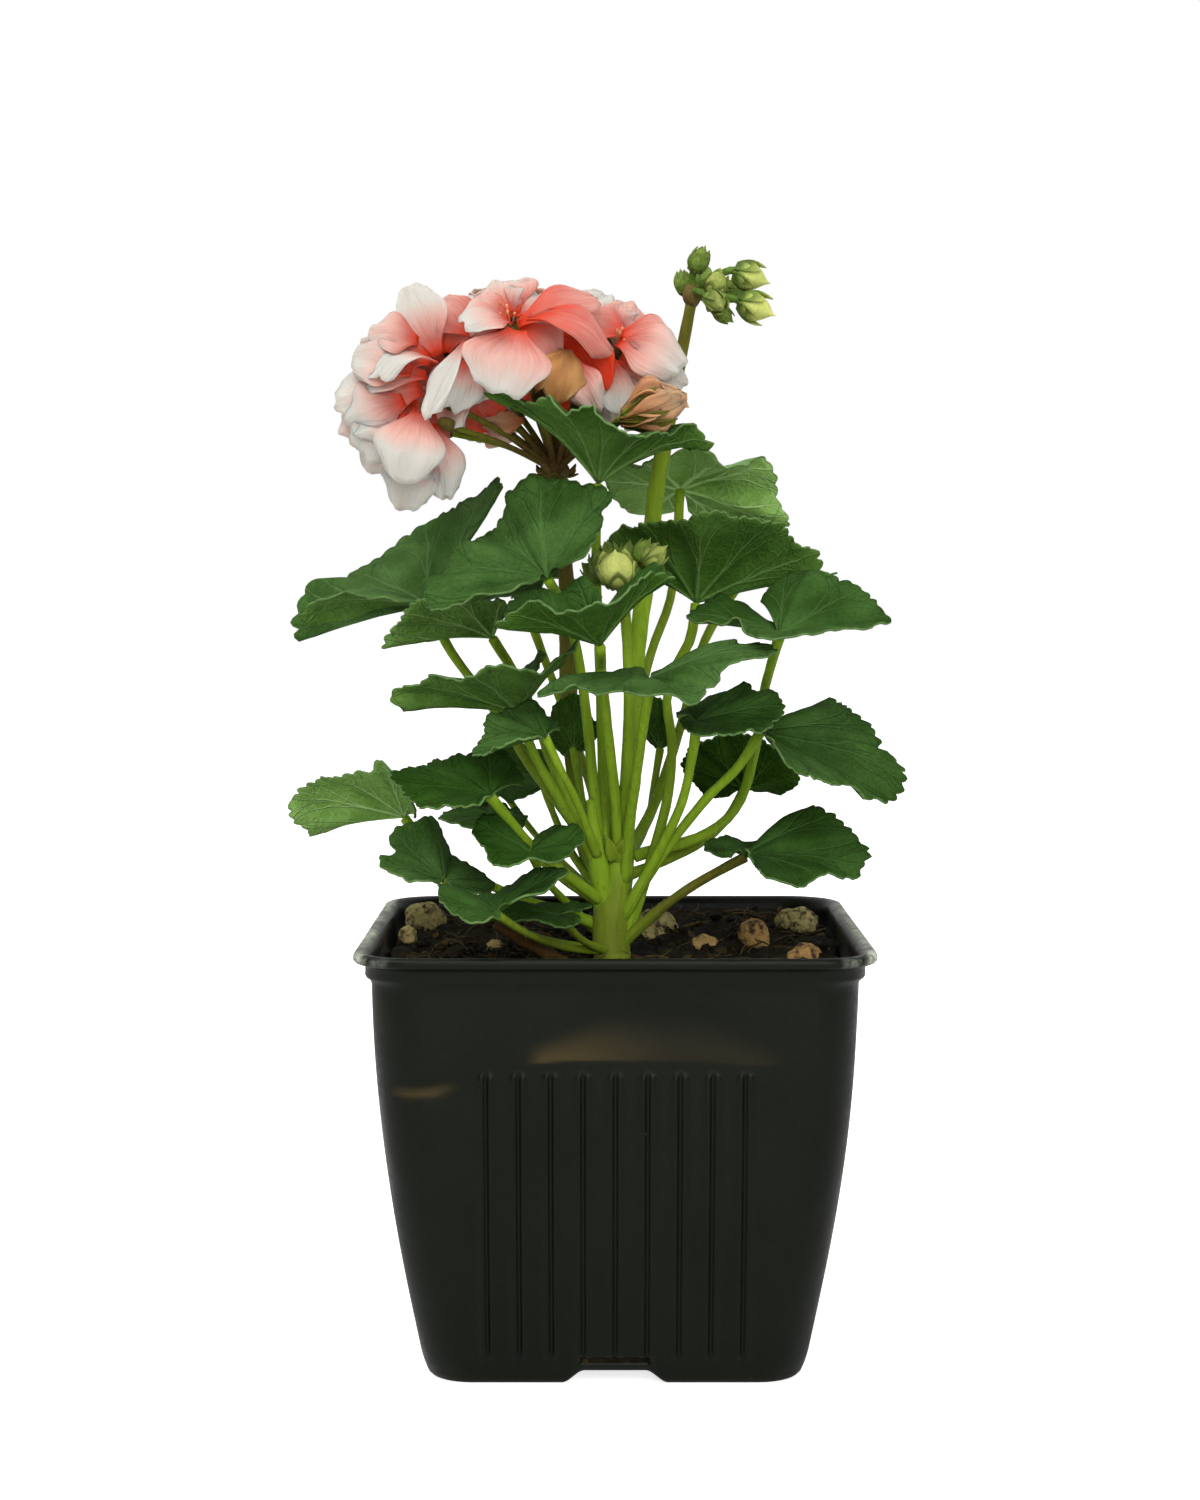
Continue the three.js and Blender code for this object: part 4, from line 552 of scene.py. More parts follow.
FLORETS = (
    Floret((438, 357, 3), (-0.3, -0.9, 0.25)),
    Floret((432, 394, 2), (-0.3, -0.92, -0.1)),
    Floret((511, 326, -12), (-0.1, -0.72, 0.68)),
    Floret((616, 346, -10), (0.35, -0.75, 0.55)),
    Floret((574, 344, -4), (0.05, -0.95, 0.1)),
    Floret((556, 312, 4), (0.05, 0.1, 1), (
        (522, 306, 0.2, 13, 12, 0.55), (566, 300, 0.9, 13, 12, 0.8), (598, 312, 0.2, 13, 12, 0.6),
        (548, 334, -0.8, 13, 11, 0.45), (540, 296, 0.6, 13, 11, 0.9), (586, 300, 0.6, 12, 11, 0.7),
    )),
    Floret((470, 352, 26), (-0.5, 0.6, 0.6), (
        (432, 330, 0.3, 15, 13, 0.8), (474, 306, 0.4, 15, 13, 0.6), (500, 366, 0.5, 14, 13, 0.7),
        (444, 394, 0.6, 15, 12, 0.95), (440, 362, 0.8, 14, 12, 1.2), (486, 330, 0.9, 13, 12, 0.9),
        (470, 318, -0.5, 13, 11, 0.8),
    )),
    Floret((546, 318, 22), (0, 0.45, 0.9), (
        (502, 310, 0.3, 15, 13, 0.6), (546, 294, 0.8, 15, 13, 0.65), (594, 326, 0.4, 15, 13, 0.55),
        (520, 362, 0.3, 15, 12, 0.8), (516, 300, 0.8, 13, 12, 1.0), (574, 304, 0.7, 13, 12, 0.9),
        (562, 352, 0.7, 14, 12, 1.1),
    )),
    Floret((618, 358, 26), (0.55, 0.6, 0.5), (
        (590, 320, 0.4, 15, 13, 0.6), (650, 336, 0.4, 15, 13, 0.75), (656, 392, 0.5, 14, 13, 0.95),
        (580, 390, 0.6, 14, 12, 0.8), (620, 322, 0.6, 14, 12, 0.9), (668, 362, 0.4, 13, 12, 1.1),
    )),
    Floret((492, 412, 38), (-0.35, 0.85, 0.1), (
        (456, 386, 0.2, 13, 12, 0.75), (510, 374, 0.4, 14, 13, 0.6), (518, 430, 0.5, 13, 12, 1.0),
        (468, 438, 0.5, 13, 11, 1.05), (478, 376, 0.7, 13, 12, 0.8), (448, 414, 0.6, 12, 11, 1.1),
    )),
    Floret((440, 345, 13), (-0.5, 0.1, 0.85), ring=13.5),
    Floret((500, 316, 9), (-0.1, 0, 1), ring=13),
    Floret((600, 334, 13), (0.3, 0.1, 0.95), ring=12.5),
    Floret((640, 362, 10), (0.8, 0.1, 0.5), ring=11),
    Floret((512, 330, 36), (-0.15, 0.6, 0.8), ring=14),
    Floret((584, 344, 38), (0.3, 0.65, 0.7), ring=13),
    Floret((434, 392, 27), (-0.8, 0.5, 0.2), ring=13.5),
    Floret((632, 384, 27), (0.8, 0.5, 0.1), ring=12),
    Floret((536, 366, 45), (0, 0.95, 0.3), ring=13),
    Floret((580, 398, 42), (0.25, 0.9, 0.1), (
        (542, 376, 0.2, 14, 13, 0.7), (598, 360, 0.3, 14, 13, 0.65), (614, 424, 0.4, 13, 12, 1.0),
        (552, 432, 0.4, 13, 12, 0.9), (570, 362, 0.7, 13, 12, 0.8), (626, 394, 0.6, 12, 11, 1.0),
    )),
    Floret((414, 384, 8), (-0.93, 0.15, 0.3), ring=13.5),
    Floret((424, 432, 9), (-0.85, 0.25, -0.25), ring=11),
)
HEART_SHARE = 0.7
CUP_LENGTH = 7 * MM


class Cluster(NamedTuple):
    """A bud cluster: its node, its hub, and each bud's tip, base and radius."""

    node: str
    hub: tuple
    buds: tuple


CLUSTERS = (
    Cluster("buds_top", (692, 302, 9), (
        ((706, 245, 4), (693, 273, 7), 2.3), ((680, 268, 13), (686, 296, 11), 1.9),
        ((722, 270, -3), (711, 294, 3), 2.4), ((723, 308, -9), (709, 296, 0), 2.2),
        ((771, 284, 4), (732, 270, 6), 3.0), ((776, 316, 0), (738, 300, 4), 3.0),
        ((734, 323, 12), (714, 306, 12), 2.0), ((706, 270, 24), (700, 290, 16), 2.3),
        ((744, 294, 22), (722, 290, 15), 2.4),
    )),
    Cluster("buds_centre", (624, 590, -15), (
        ((615, 549, -24), (617, 586, -18), 3.9), ((594, 547, -13), (606, 578, -14), 2.6),
        ((581, 562, -9), (604, 582, -12), 2.1), ((668, 545, -17), (641, 568, -15), 2.6),
        ((630, 539, -13), (626, 572, -14), 2.4), ((651, 537, -15), (636, 566, -15), 2.2),
        ((607, 539, -7), (614, 572, -11), 2.2),
    )),
)
PALE_BUDS = {("buds_top", 4): 0.95, ("buds_top", 5): 1.0, ("buds_top", 2): 0.55,
             ("buds_top", 3): 0.35, ("buds_centre", 0): 1.0, ("buds_centre", 3): 0.45}


# Pieces
def deselect():
    """Leaves nothing selected."""
    bpy.ops.object.select_all(action="DESELECT")


def pick(piece):
    """Makes a piece the only selected and the active one."""
    deselect()
    piece.select_set(True)
    bpy.context.view_layer.objects.active = piece


def named(name):
    """The piece just made, under its name."""
    piece = bpy.context.object
    piece.name = piece.data.name = name
    return piece


def grid_piece(name, columns, rows, point, outward=False, distance=0.02 * MM):
    """Adds a grid and lays each of its points where point(across, up) says, from 0 to 1.

    Points that then lie within the distance of each other are joined.
    """
    deselect()
    bpy.ops.mesh.primitive_grid_add(x_subdivisions=columns, y_subdivisions=rows, size=1)
    piece = named(name)
    for vertex in piece.data.vertices:
        vertex.co = point(vertex.co.x + 0.5, vertex.co.y + 0.5)
    pick(piece)
    bpy.ops.object.mode_set(mode="EDIT")
    bpy.ops.mesh.select_all(action="SELECT")
    bpy.ops.mesh.remove_doubles(threshold=distance)
    if outward:
        bpy.ops.mesh.normals_make_consistent(inside=False)
    bpy.ops.object.mode_set(mode="OBJECT")
    piece.data.shade_smooth()
    return piece


def joined(name, pieces):
    """Joins pieces into one."""
    pick(pieces[0])
    for piece in pieces:
        piece.select_set(True)
    bpy.ops.object.join()
    return named(name)


def scattered(name, prototype, matrices):
    """One piece of many copies of a prototype, which is removed."""
    crowd = bmesh.new()
    for matrix in matrices:
        copy = prototype.data.copy()
        copy.transform(matrix)
        crowd.from_mesh(copy)
        bpy.data.meshes.remove(copy)
    mesh = bpy.data.meshes.new(name)
    crowd.to_mesh(mesh)
    crowd.free()
    piece = bpy.data.objects.new(name, mesh)
    bpy.context.scene.collection.objects.link(piece)
    bpy.data.objects.remove(prototype)
    return piece


def paint(piece, attribute, values):
    """Stores one number for each point of a piece, which its finish reads."""
    layer = piece.data.attributes.new(attribute, "FLOAT", "POINT")
    if not hasattr(values, "__len__"):
        values = [values] * len(piece.data.vertices)
    layer.data.foreach_set("value", values)
    return piece


def dress(piece, *materials):
    """Gives a piece its materials in order."""
    piece.data.materials.clear()
    for material in materials:
        piece.data.materials.append(material)


def seat(piece, slot, *nodes):
    """Hands a finished piece over: it rides on the pot and stands for its solids."""
    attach(piece, "root")
    if nodes:
        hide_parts(*nodes)


def thicken(piece, thickness, under=0, rim=0):
    """Gives a sheet its thickness, half to each side."""
    shell = piece.modifiers.new("Thickness", "SOLIDIFY")
    shell.thickness = thickness
    shell.offset = 0
    shell.material_offset = under
    shell.material_offset_rim = rim
    pick(piece)
    bpy.ops.object.modifier_apply(modifier=shell.name)


SOLDER = 0.004 * MM
CAP_RINGS = 2


def tube(name, points, radii, sides, steps, wobble=0.0, brown=(0, 0)):
    """A round stem along a smooth curve through points, closed by a cap of two rings at each end."""
    spots = Curve(points).evenly(steps)
    sideways = Vector((0.31, -0.9, 0.29)).normalized()
    frames = []
    for i, spot in enumerate(spots):
        along = (spots[min(i + 1, steps)] - spots[max(i - 1, 0)]).normalized()
        sideways = (sideways - along * sideways.dot(along)).normalized()
        frames.append((spot, sideways.copy(), along.cross(sideways), along))

    def point(across, up):
        index = round(up * (steps + 2 * CAP_RINGS)) - CAP_RINGS
        spot, first, second, along = frames[int(clamp(index, 0, steps))]
        radius = steps_of(radii, clamp(index / steps)) * MM
        radius *= 1 + wobble * noise.noise(spot * 260 + first * across)
        outward = 1 if index > 0 else -1
        if index in (-1, steps + 1):
            radius *= 0.62
            spot = spot + along * radius * (0.3 * outward)
        elif index in (-CAP_RINGS, steps + CAP_RINGS):
            return spot + along * radius * (0.35 * outward)
        turn = 2 * math.pi * across
        return spot + (first * math.cos(turn) + second * math.sin(turn)) * radius

    stem = grid_piece(name, sides, steps + 2 * CAP_RINGS, point, outward=True, distance=SOLDER)
    return paint(stem, "brown", [steps_of(brown, share_on(spots, v.co)) for v in stem.data.vertices])


def share_on(spots, point):
    """The share of the way along a row of spots of the one nearest to a point."""
    distances = [(spot - point).length_squared for spot in spots]
    return distances.index(min(distances)) / (len(spots) - 1)


# Settings
def length(name, description, default):
    """A size in metres."""
    return FloatProperty(name=name, description=description, default=default, unit="LENGTH")


def tone(name, description, default):
    """A colour."""
    return FloatVectorProperty(
        name=name, description=description, default=default, subtype="COLOR", size=3,
    )


class PotSettings(bpy.types.PropertyGroup):
    """The pot's sizes and colours."""

    rib_pitch: length("Rib pitch", "The distance between the wall's ribs", 6.45 * MM)
    rib_rise: length("Rib rise", "How far a rib stands out of the wall", 0.6 * MM)
    plastic: tone("Plastic", "The colour of the black plastic", (0.0026, 0.0040, 0.0010))
    # Painted reflection: the warm brown that the dented band shows as if lit.
    worn: tone("Dent reflection", "The colour of the painted reflection in the dent", (0.048, 0.033, 0.010))


class SoilSettings(bpy.types.PropertyGroup):
    """The potting mix's make-up and colours."""

    crumbs: IntProperty(name="Crumbs", description="How many loose crumbs lie on it", default=900)
    fibres: IntProperty(name="Fibres", description="How many peat fibres lie on it", default=260)
    peat: tone("Peat", "The colour of damp peat", (0.010, 0.008, 0.0030))
    clay: tone("Clay", "The colour of a clay granule", (0.46, 0.31, 0.15))


class LeafSettings(bpy.types.PropertyGroup):
    """The blades' sizes and colours."""

    thickness: length("Blade thickness", "The thickness of a blade", 0.45 * MM)
    teeth: IntProperty(name="Teeth", description="Round teeth along a large blade", default=41)
    tooth_depth: FloatProperty(
        name="Tooth depth", description="The depth of a tooth as a share of the blade's reach",
        default=0.05, subtype="FACTOR",
    )
    ruffle: length("Ruffle", "How far the margin waves", 0.8 * MM)
    upper: tone("Upper face", "The colour of a blade's upper face", (0.034, 0.086, 0.015))
    under: tone("Underside", "The colour of a blade's underside", (0.042, 0.104, 0.013))
    margin: tone("Margin", "The colour of the thin pale margin", (0.085, 0.165, 0.040))


class FlowerSettings(bpy.types.PropertyGroup):
    """The petals' and buds' sizes and colours."""

    petal_thickness: length("Petal thickness", "The thickness of a petal", 0.3 * MM)
    claw: tone("Claw", "The red at a petal's foot", (0.740, 0.040, 0.010))
    blush: tone("Blush", "The salmon pink of a petal's middle", (0.535, 0.142, 0.112))
    pale: tone("Pale", "The near white of a petal's tip", (0.53, 0.50, 0.45))
    wilted: tone("Wilted", "The tan of a wilted petal", (0.42, 0.20, 0.070))
    sepal: tone("Sepal", "The green of a bud's sepals", (0.085, 0.150, 0.018))
    bud_tip: tone("Bud tip", "The yellow green of an opening bud", (0.52, 0.56, 0.15))


class StageSettings(bpy.types.PropertyGroup):
    """The studio's light and floor."""

    floor: tone("Floor", "The colour of the pale floor", (0.93, 0.93, 0.93))
    key: FloatProperty(name="Key light", description="Strength of the light above", default=13.0)
    front: FloatProperty(
        name="Front light", description="Strength of the soft light behind the camera", default=17.0,
    )
    fill: FloatProperty(name="Room light", description="Strength of the light all round", default=0.62)


SETTINGS = {
    "geranium_pot": PotSettings,
    "geranium_soil": SoilSettings,
    "geranium_leaf": LeafSettings,
    "geranium_flower": FlowerSettings,
    "geranium_stage": StageSettings,
}


# Finishes
class Value:
    """What a socket gives out. Sums of values lay the nodes that work them out."""

    def __init__(self, sheet, socket):
        self.sheet = sheet
        self.socket = socket

    def __add__(self, other):
        return self.sheet.sum("ADD", self, other)

    def __sub__(self, other):
        return self.sheet.sum("SUBTRACT", self, other)

    def __mul__(self, other):
        return self.sheet.sum("MULTIPLY", self, other)

    def __truediv__(self, other):
        return self.sheet.sum("DIVIDE", self, other)

    def __abs__(self):
        return self.sheet.sum("ABSOLUTE", self)


class Sheet:
    """Lays nodes in a tree and links them."""

    def __init__(self, tree):
        self.tree = tree
        self.laid = 0

    def add(self, kind, inputs=None, **settings):
        """Adds a node with its settings, and its inputs as numbers or values."""
        node = self.tree.nodes.new(kind)
        node.location = (240 * (self.laid % 12), -260 * (self.laid // 12))
        self.laid += 1
        for key, value in settings.items():
            setattr(node, key, value)
        for key, value in (inputs or {}).items():
            self.feed(node.inputs[key], value)
        return node

    def feed(self, socket, value):
        """Links a socket to a value, or sets its number."""
        if isinstance(value, Value):
            self.tree.links.new(value.socket, socket)
        else:
            socket.default_value = value

    def read(self, key, kind, inputs=None, **settings):
        """One value of a new node."""
        return Value(self, self.add(kind, inputs, **settings).outputs[key])

    def spread(self, kind, inputs=None, **settings):
        """All the values of a new node, by name."""
        outputs = self.add(kind, inputs, **settings).outputs
        return {socket.name: Value(self, socket) for socket in outputs}

    def sum(self, operation, *values, clamped=False):
        """A calculation on numbers."""
        return self.read(0, "ShaderNodeMath", dict(enumerate(values)), operation=operation,
                         use_clamp=clamped)

    def mix(self, share, first, second, way="MIX"):
        """A mix of two colours."""
        inputs = {0: share, 6: first, 7: second}
        return self.read(2, "ShaderNodeMix", inputs, data_type="RGBA", blend_type=way)

    def rise(self, value, low, high, bottom=0.0, top=1.0):
        """A smooth rise from bottom to top while a value goes from low to high."""
        inputs = dict(enumerate((value, low, high, bottom, top)))
        return self.read(0, "ShaderNodeMapRange", inputs, interpolation_type="SMOOTHSTEP")

    def cloud(self, where, scale, detail=2.0, roughness=0.5):
        """Soft noise from 0 to 1 at a scale."""
        inputs = {"Vector": where, "Scale": scale, "Detail": detail, "Roughness": roughness}
        return self.read(0, "ShaderNodeTexNoise", inputs)

    def cells(self, where, scale, key="Distance", feature="F1"):
        """Round cells at a scale: the distance from their middles, or another value of them."""
        return self.read(key, "ShaderNodeTexVoronoi", {"Vector": where, "Scale": scale}, feature=feature)

    def attribute(self, name):
        """The numbers that a piece's points carry."""
        return self.read("Fac", "ShaderNodeAttribute", attribute_name=name)

    def bump(self, height, distance):
        """A normal from a height, with its relief in metres."""
        return self.read(0, "ShaderNodeBump", {"Height": height, "Distance": distance})

    def shown_apart(self, others, shown, surface):
        """Sends one shader to the camera, and another to the light that bounces."""
        path = self.read("Is Camera Ray", "ShaderNodeLightPath")
        self.feed(surface, self.read(0, "ShaderNodeMixShader", {0: path, 1: others, 2: shown}))


def colour(values, factor=1.0):
    """A colour with its alpha."""
    return (values[0] * factor, values[1] * factor, values[2] * factor, 1)


def new_group(name, inputs, outputs):
    """An empty shader group with named sockets, and its sheet, its values and its way out."""
    tree = bpy.data.node_groups.new(name, "ShaderNodeTree")
    for label, kind in inputs:
        tree.interface.new_socket(label, in_out="INPUT", socket_type="NodeSocket" + kind)
    for label in outputs:
        tree.interface.new_socket(label, in_out="OUTPUT", socket_type="NodeSocketFloat")
    sheet = Sheet(tree)
    return tree, sheet, sheet.spread("NodeGroupInput"), sheet.add("NodeGroupOutput").inputs


# The veins: how many arms, how wide their lanes spread, and where each fork leaves its arm
VEINS = 7
VEIN_SPREAD = 18.6
VEIN_SWAY = 0.22
VEIN_FORKS = (
    (0, 0, 0.66, 0.24), (0.30, 0.62, 0.40, 0.19), (0.56, 0.62, 0.30, 0.15), (0.72, 1.5, 0.22, 0.12),
)


def vein_group():
    """Palmate veins over a blade's own map: seven main veins that fork, and a fine net."""
    tree, sheet, entry, way_out = new_group(
        "Palmate veins", (("Map", "Vector"), ("Place", "Vector")), ("Veins", "Net")
    )
    chart = sheet.spread("ShaderNodeSeparateXYZ", {0: entry["Map"]})
    around, out = chart["X"], chart["Y"]
    lane = around * VEINS + (sheet.cloud(entry["Place"], 120) - 0.5) * VEIN_SWAY
    off = abs(sheet.sum("FRACT", lane) - 0.5)
    breadth = out * VEIN_SPREAD
    masks = []
    for start, slope, foot, tip in VEIN_FORKS:
        aside = sheet.sum("MAXIMUM", out - start, 0) * slope
        width = out * (tip - foot) + foot
        masks.append(sheet.rise(abs(off - aside) * breadth / width, 0.0, 1.5, 1.0, 0.0))
    veins = masks[0]
    for mask in masks[1:]:
        veins = sheet.sum("MAXIMUM", veins, mask)
    sheet.feed(way_out["Veins"], veins)
    net = sheet.cells(entry["Place"], 520.0, feature="DISTANCE_TO_EDGE")
    sheet.feed(way_out["Net"], sheet.rise(net, 0.02, 0.16, 1.0, 0.0))
    return tree


def grain_group():
    """Uneven colour at two scales, from 0 to 1."""
    tree, sheet, entry, way_out = new_group(
        "Uneven grain", (("Place", "Vector"), ("Coarse", "Float"), ("Fine", "Float")), ("Grain",)
    )
    coarse = sheet.cloud(entry["Place"], entry["Coarse"], 3)
    fine = sheet.cloud(entry["Place"], entry["Fine"], 2, 0.6)
    sheet.feed(way_out["Grain"], sheet.rise(coarse * 0.6 + fine * 0.4, 0.36, 0.64))
    return tree


def group_node(sheet, name, build, inputs):
    """The values of a shared group in a material, from inputs of its own."""
    tree = bpy.data.node_groups.get(name) or build()
    return sheet.spread("ShaderNodeGroup", inputs, node_tree=tree)


def grain(sheet, where, coarse, fine):
    """The shared grain at two scales."""
    inputs = {"Place": where, "Coarse": coarse, "Fine": fine}
    return group_node(sheet, "Uneven grain", grain_group, inputs)["Grain"]


def finish(name, build, **constants):
    """A material by name: build gives its colour, its roughness and its normal."""
    if name in bpy.data.materials:
        return bpy.data.materials[name]
    material = bpy.data.materials.new(name)
    material.use_nodes = True
    sheet = Sheet(material.node_tree)
    shader = material.node_tree.nodes["Principled BSDF"].inputs
    for label, value in constants.items():
        shader[label.replace("_", " ")].default_value = value
    where = sheet.spread("ShaderNodeTexCoord")
    values = build(sheet, where["Object"], where["UV"])
    for label, value in zip(("Base Color", "Roughness", "Normal"), values):
        sheet.feed(shader[label], value)
    return material


def two_tone(name, scales, dark, light, roughness, specular=0.3):
    """A plain finish: two shades in the shared grain, and a roughness that goes with it."""

    def build(sheet, where, _):
        mottle = grain(sheet, where, *scales)
        return sheet.mix(mottle, dark, light), sheet.rise(mottle, 0, 1, *roughness)

    return finish(name, build, Specular_IOR_Level=specular)


CHALK = (0.50, 0.53, 0.43, 1)
DUST = (0.16, 0.16, 0.13, 1)


def pot_plastic():
    """Black moulded plastic, with a painted brown reflection in the dented band, and whitened along the rim.
    """
    settings = bpy.context.scene.geranium_pot

    def build(sheet, where, _):
        mottle = grain(sheet, where, 45.0, 700.0)
        # The dented band gets a painted brown reflection, mixed over the plastic.
        worn = sheet.attribute("worn")
        body = sheet.mix(mottle, colour(settings.plastic, 0.8), colour(settings.plastic, 1.25))
        body = sheet.mix(worn, body, colour(settings.worn))
        scratches = sheet.rise(sheet.cloud(where, 520.0, 6, 0.75), 0.40, 0.56, 0.35, 1.0)
        chalk = sheet.attribute("chalk") * scratches
        body = sheet.mix(chalk, body, CHALK)
        speck = sheet.rise(sheet.cells(where, 130.0), 0.028, 0.05, 1.0, 0.0)
        rare = sheet.rise(sheet.cloud(where, 60.0), 0.6, 0.66)
        body = sheet.mix(speck * rare, body, DUST)
        rough = sheet.rise(mottle, 0, 1, 0.30, 0.44) + sheet.sum("MAXIMUM", chalk, worn) * 0.25
        waves = sheet.cloud(where, 60.0) + sheet.cloud(where, 900.0) * 0.06
        return body, rough, sheet.bump(waves, 0.5 * MM)

    return finish("black pot plastic", build, Specular_IOR_Level=0.13)


LIGHT_CRUMB = (0.13, 0.080, 0.025, 1)


def peat():
    """Damp dark peat with lighter crumbs."""
    settings = bpy.context.scene.geranium_soil

    def build(sheet, where, _):
        patches = grain(sheet, where, 160.0, 900.0)
        body = sheet.mix(patches, colour(settings.peat, 0.35), colour(settings.peat, 1.6))
        light = sheet.rise(sheet.cells(where, 480.0, "Color"), 0.80, 0.92)
        relief = sheet.bump(sheet.cloud(where, 1100.0, 4, 0.7), 0.8 * MM)
        return sheet.mix(light * 0.5, body, LIGHT_CRUMB), sheet.rise(patches, 0, 1, 0.72, 0.98), relief

    return finish("damp peat", build, Specular_IOR_Level=0.1)


CLAY_STAIN = 0.62
PALE_CLAY = (0.42, 0.40, 0.14, 1)
ORANGE_CLAY = (0.60, 0.32, 0.075, 1)
CLAY_PIT = (0.045, 0.028, 0.014, 1)


def clay():
    """Fired clay, tan to orange, pitted and stained with peat."""
    settings = bpy.context.scene.geranium_soil

    def build(sheet, where, _):
        grains = grain(sheet, where, 300.0, 1500.0)
        body = sheet.mix(grains, colour(settings.clay, 0.45), colour(settings.clay, 1.25))
        stains = [sheet.mix(CLAY_STAIN, body, stain) for stain in (PALE_CLAY, ORANGE_CLAY)]
        body = sheet.mix(sheet.attribute("orange"), *stains)
        pits = sheet.rise(sheet.cloud(where, 420.0, 5, 0.65), 0.37, 0.56)
        relief = sheet.bump(sheet.cloud(where, 900.0, 6, 0.7), 0.9 * MM)
        return sheet.mix(pits, CLAY_PIT, body), sheet.rise(grains, 0, 1, 0.75, 0.95), relief

    return finish("clay granule", build, Specular_IOR_Level=0.3)


def fibre_skin():
    """Dry brown peat fibre."""
    return two_tone("peat fibre", (120.0, 900.0), (0.024, 0.016, 0.006, 1), (0.105, 0.068, 0.022, 1),
                    (0.75, 0.95), 0.2)


STEM_GREENS = ((0.142, 0.26, 0.011, 1), (0.295, 0.455, 0.028, 1))
STEM_BROWNS = ((0.050, 0.028, 0.008, 1), (0.13, 0.07, 0.022, 1))
FRECKLE = (0.06, 0.05, 0.01, 1)


def stem_skin():
    """Fresh green stem with fine lengthwise streaks, turning reddish brown with age, and darker brown on the
    rear leaf stalks as painted shade.
    """

    def build(sheet, where, _):
        stretched = sheet.read(0, "ShaderNodeMapping", {"Vector": where, "Scale": (1, 1, 0.12)})
        streaks = sheet.cloud(stretched, 900.0, 3)
        patches = (sheet.cloud(where, 150.0) - 0.5) * 0.3
        # The brown attribute holds both real browning with age and painted shade on rear stalks.
        age_and_shade = sheet.sum("ADD", sheet.attribute("brown"), patches, clamped=True)
        body = sheet.mix(age_and_shade, sheet.mix(streaks, *STEM_GREENS), sheet.mix(streaks, *STEM_BROWNS))
        freckles = sheet.rise(sheet.cells(where, 420.0), 0.08, 0.16, 0.35, 0.0)
        body = sheet.mix(freckles, body, FRECKLE)
        return body, sheet.rise(streaks, 0, 1, 0.42, 0.6), sheet.bump(streaks, 0.15 * MM)

    return finish("stem skin", build, Specular_IOR_Level=0.06)


PATCH_TINTS = ((0.74, 0.80, 0.66, 1), (1.26, 1.18, 1.4, 1))
# Painted light and shade: a leaf's gain darkens shaded blades and brightens and pales backlit ones.
PAINTED_LIGHT_TINTS = ((0.62, 0.70, 0.50, 1), (4.6, 3.5, 6.0, 1))
NET_SHARE = 0.13
MARGIN_START = 0.975


def blade_face(name, settings_key, low, high, vein, vein_share, relief):
    """One face of a blade, with its veins, its net and its leaf's painted light and shade."""
    settings = bpy.context.scene.geranium_leaf
    base = getattr(settings, settings_key)

    def build(sheet, where, chart):
        lines = group_node(sheet, "Palmate veins", vein_group, {"Map": chart, "Place": where})

        def tinted(share, body, tints):
            return sheet.mix(share, *(sheet.mix(1.0, body, tint, "MULTIPLY") for tint in tints))

        mottle = grain(sheet, where, 110.0, 1300.0)
        body = sheet.mix(mottle, colour(base, low), colour(base, high))
        body = tinted(sheet.rise(sheet.cloud(where, 55.0, 2), 0.3, 0.7), body, PATCH_TINTS)
        body = sheet.mix(lines["Net"] * (NET_SHARE * vein_share), body, vein)
        body = sheet.mix(lines["Veins"] * vein_share, body, vein)
        # Painted light and shade: each leaf's own gain stands in for how lit or shaded it is.
        body = tinted(sheet.attribute("shade"), body, PAINTED_LIGHT_TINTS)
        out = sheet.read(1, "ShaderNodeSeparateXYZ", {0: chart})
        body = sheet.mix(sheet.rise(out, MARGIN_START, 1.0) * 0.3, body, colour(settings.margin))
        height = lines["Veins"] * relief + lines["Net"] * (relief * 0.3)
        height += sheet.cloud(where, 1700.0, 3) * 0.35
        return body, sheet.rise(mottle, 0, 1, 0.54, 0.7), sheet.bump(height, 0.25 * MM)

    return finish(name, build, Specular_IOR_Level=0.01)


def blade_upper():
    """The sage green upper face of a blade, with sunken veins a little paler than it."""
    return blade_face("blade upper face", "upper", 0.80, 1.2, (0.074, 0.155, 0.040, 1), 0.42, -1.0)


def blade_under():
    """The yellower underside of a blade, with raised pale veins."""
    return blade_face("blade underside", "under", 0.85, 1.15, (0.105, 0.21, 0.045, 1), 0.85, 1.6)


def blade_margin():
    """The thin pale edge of a blade."""
    pale = bpy.context.scene.geranium_leaf.margin
    return two_tone("blade margin", (200.0, 1500.0), colour(pale, 0.75), colour(pale, 1.2), (0.5, 0.65))


SOFT_PINK = (0.62, 0.34, 0.29, 1)


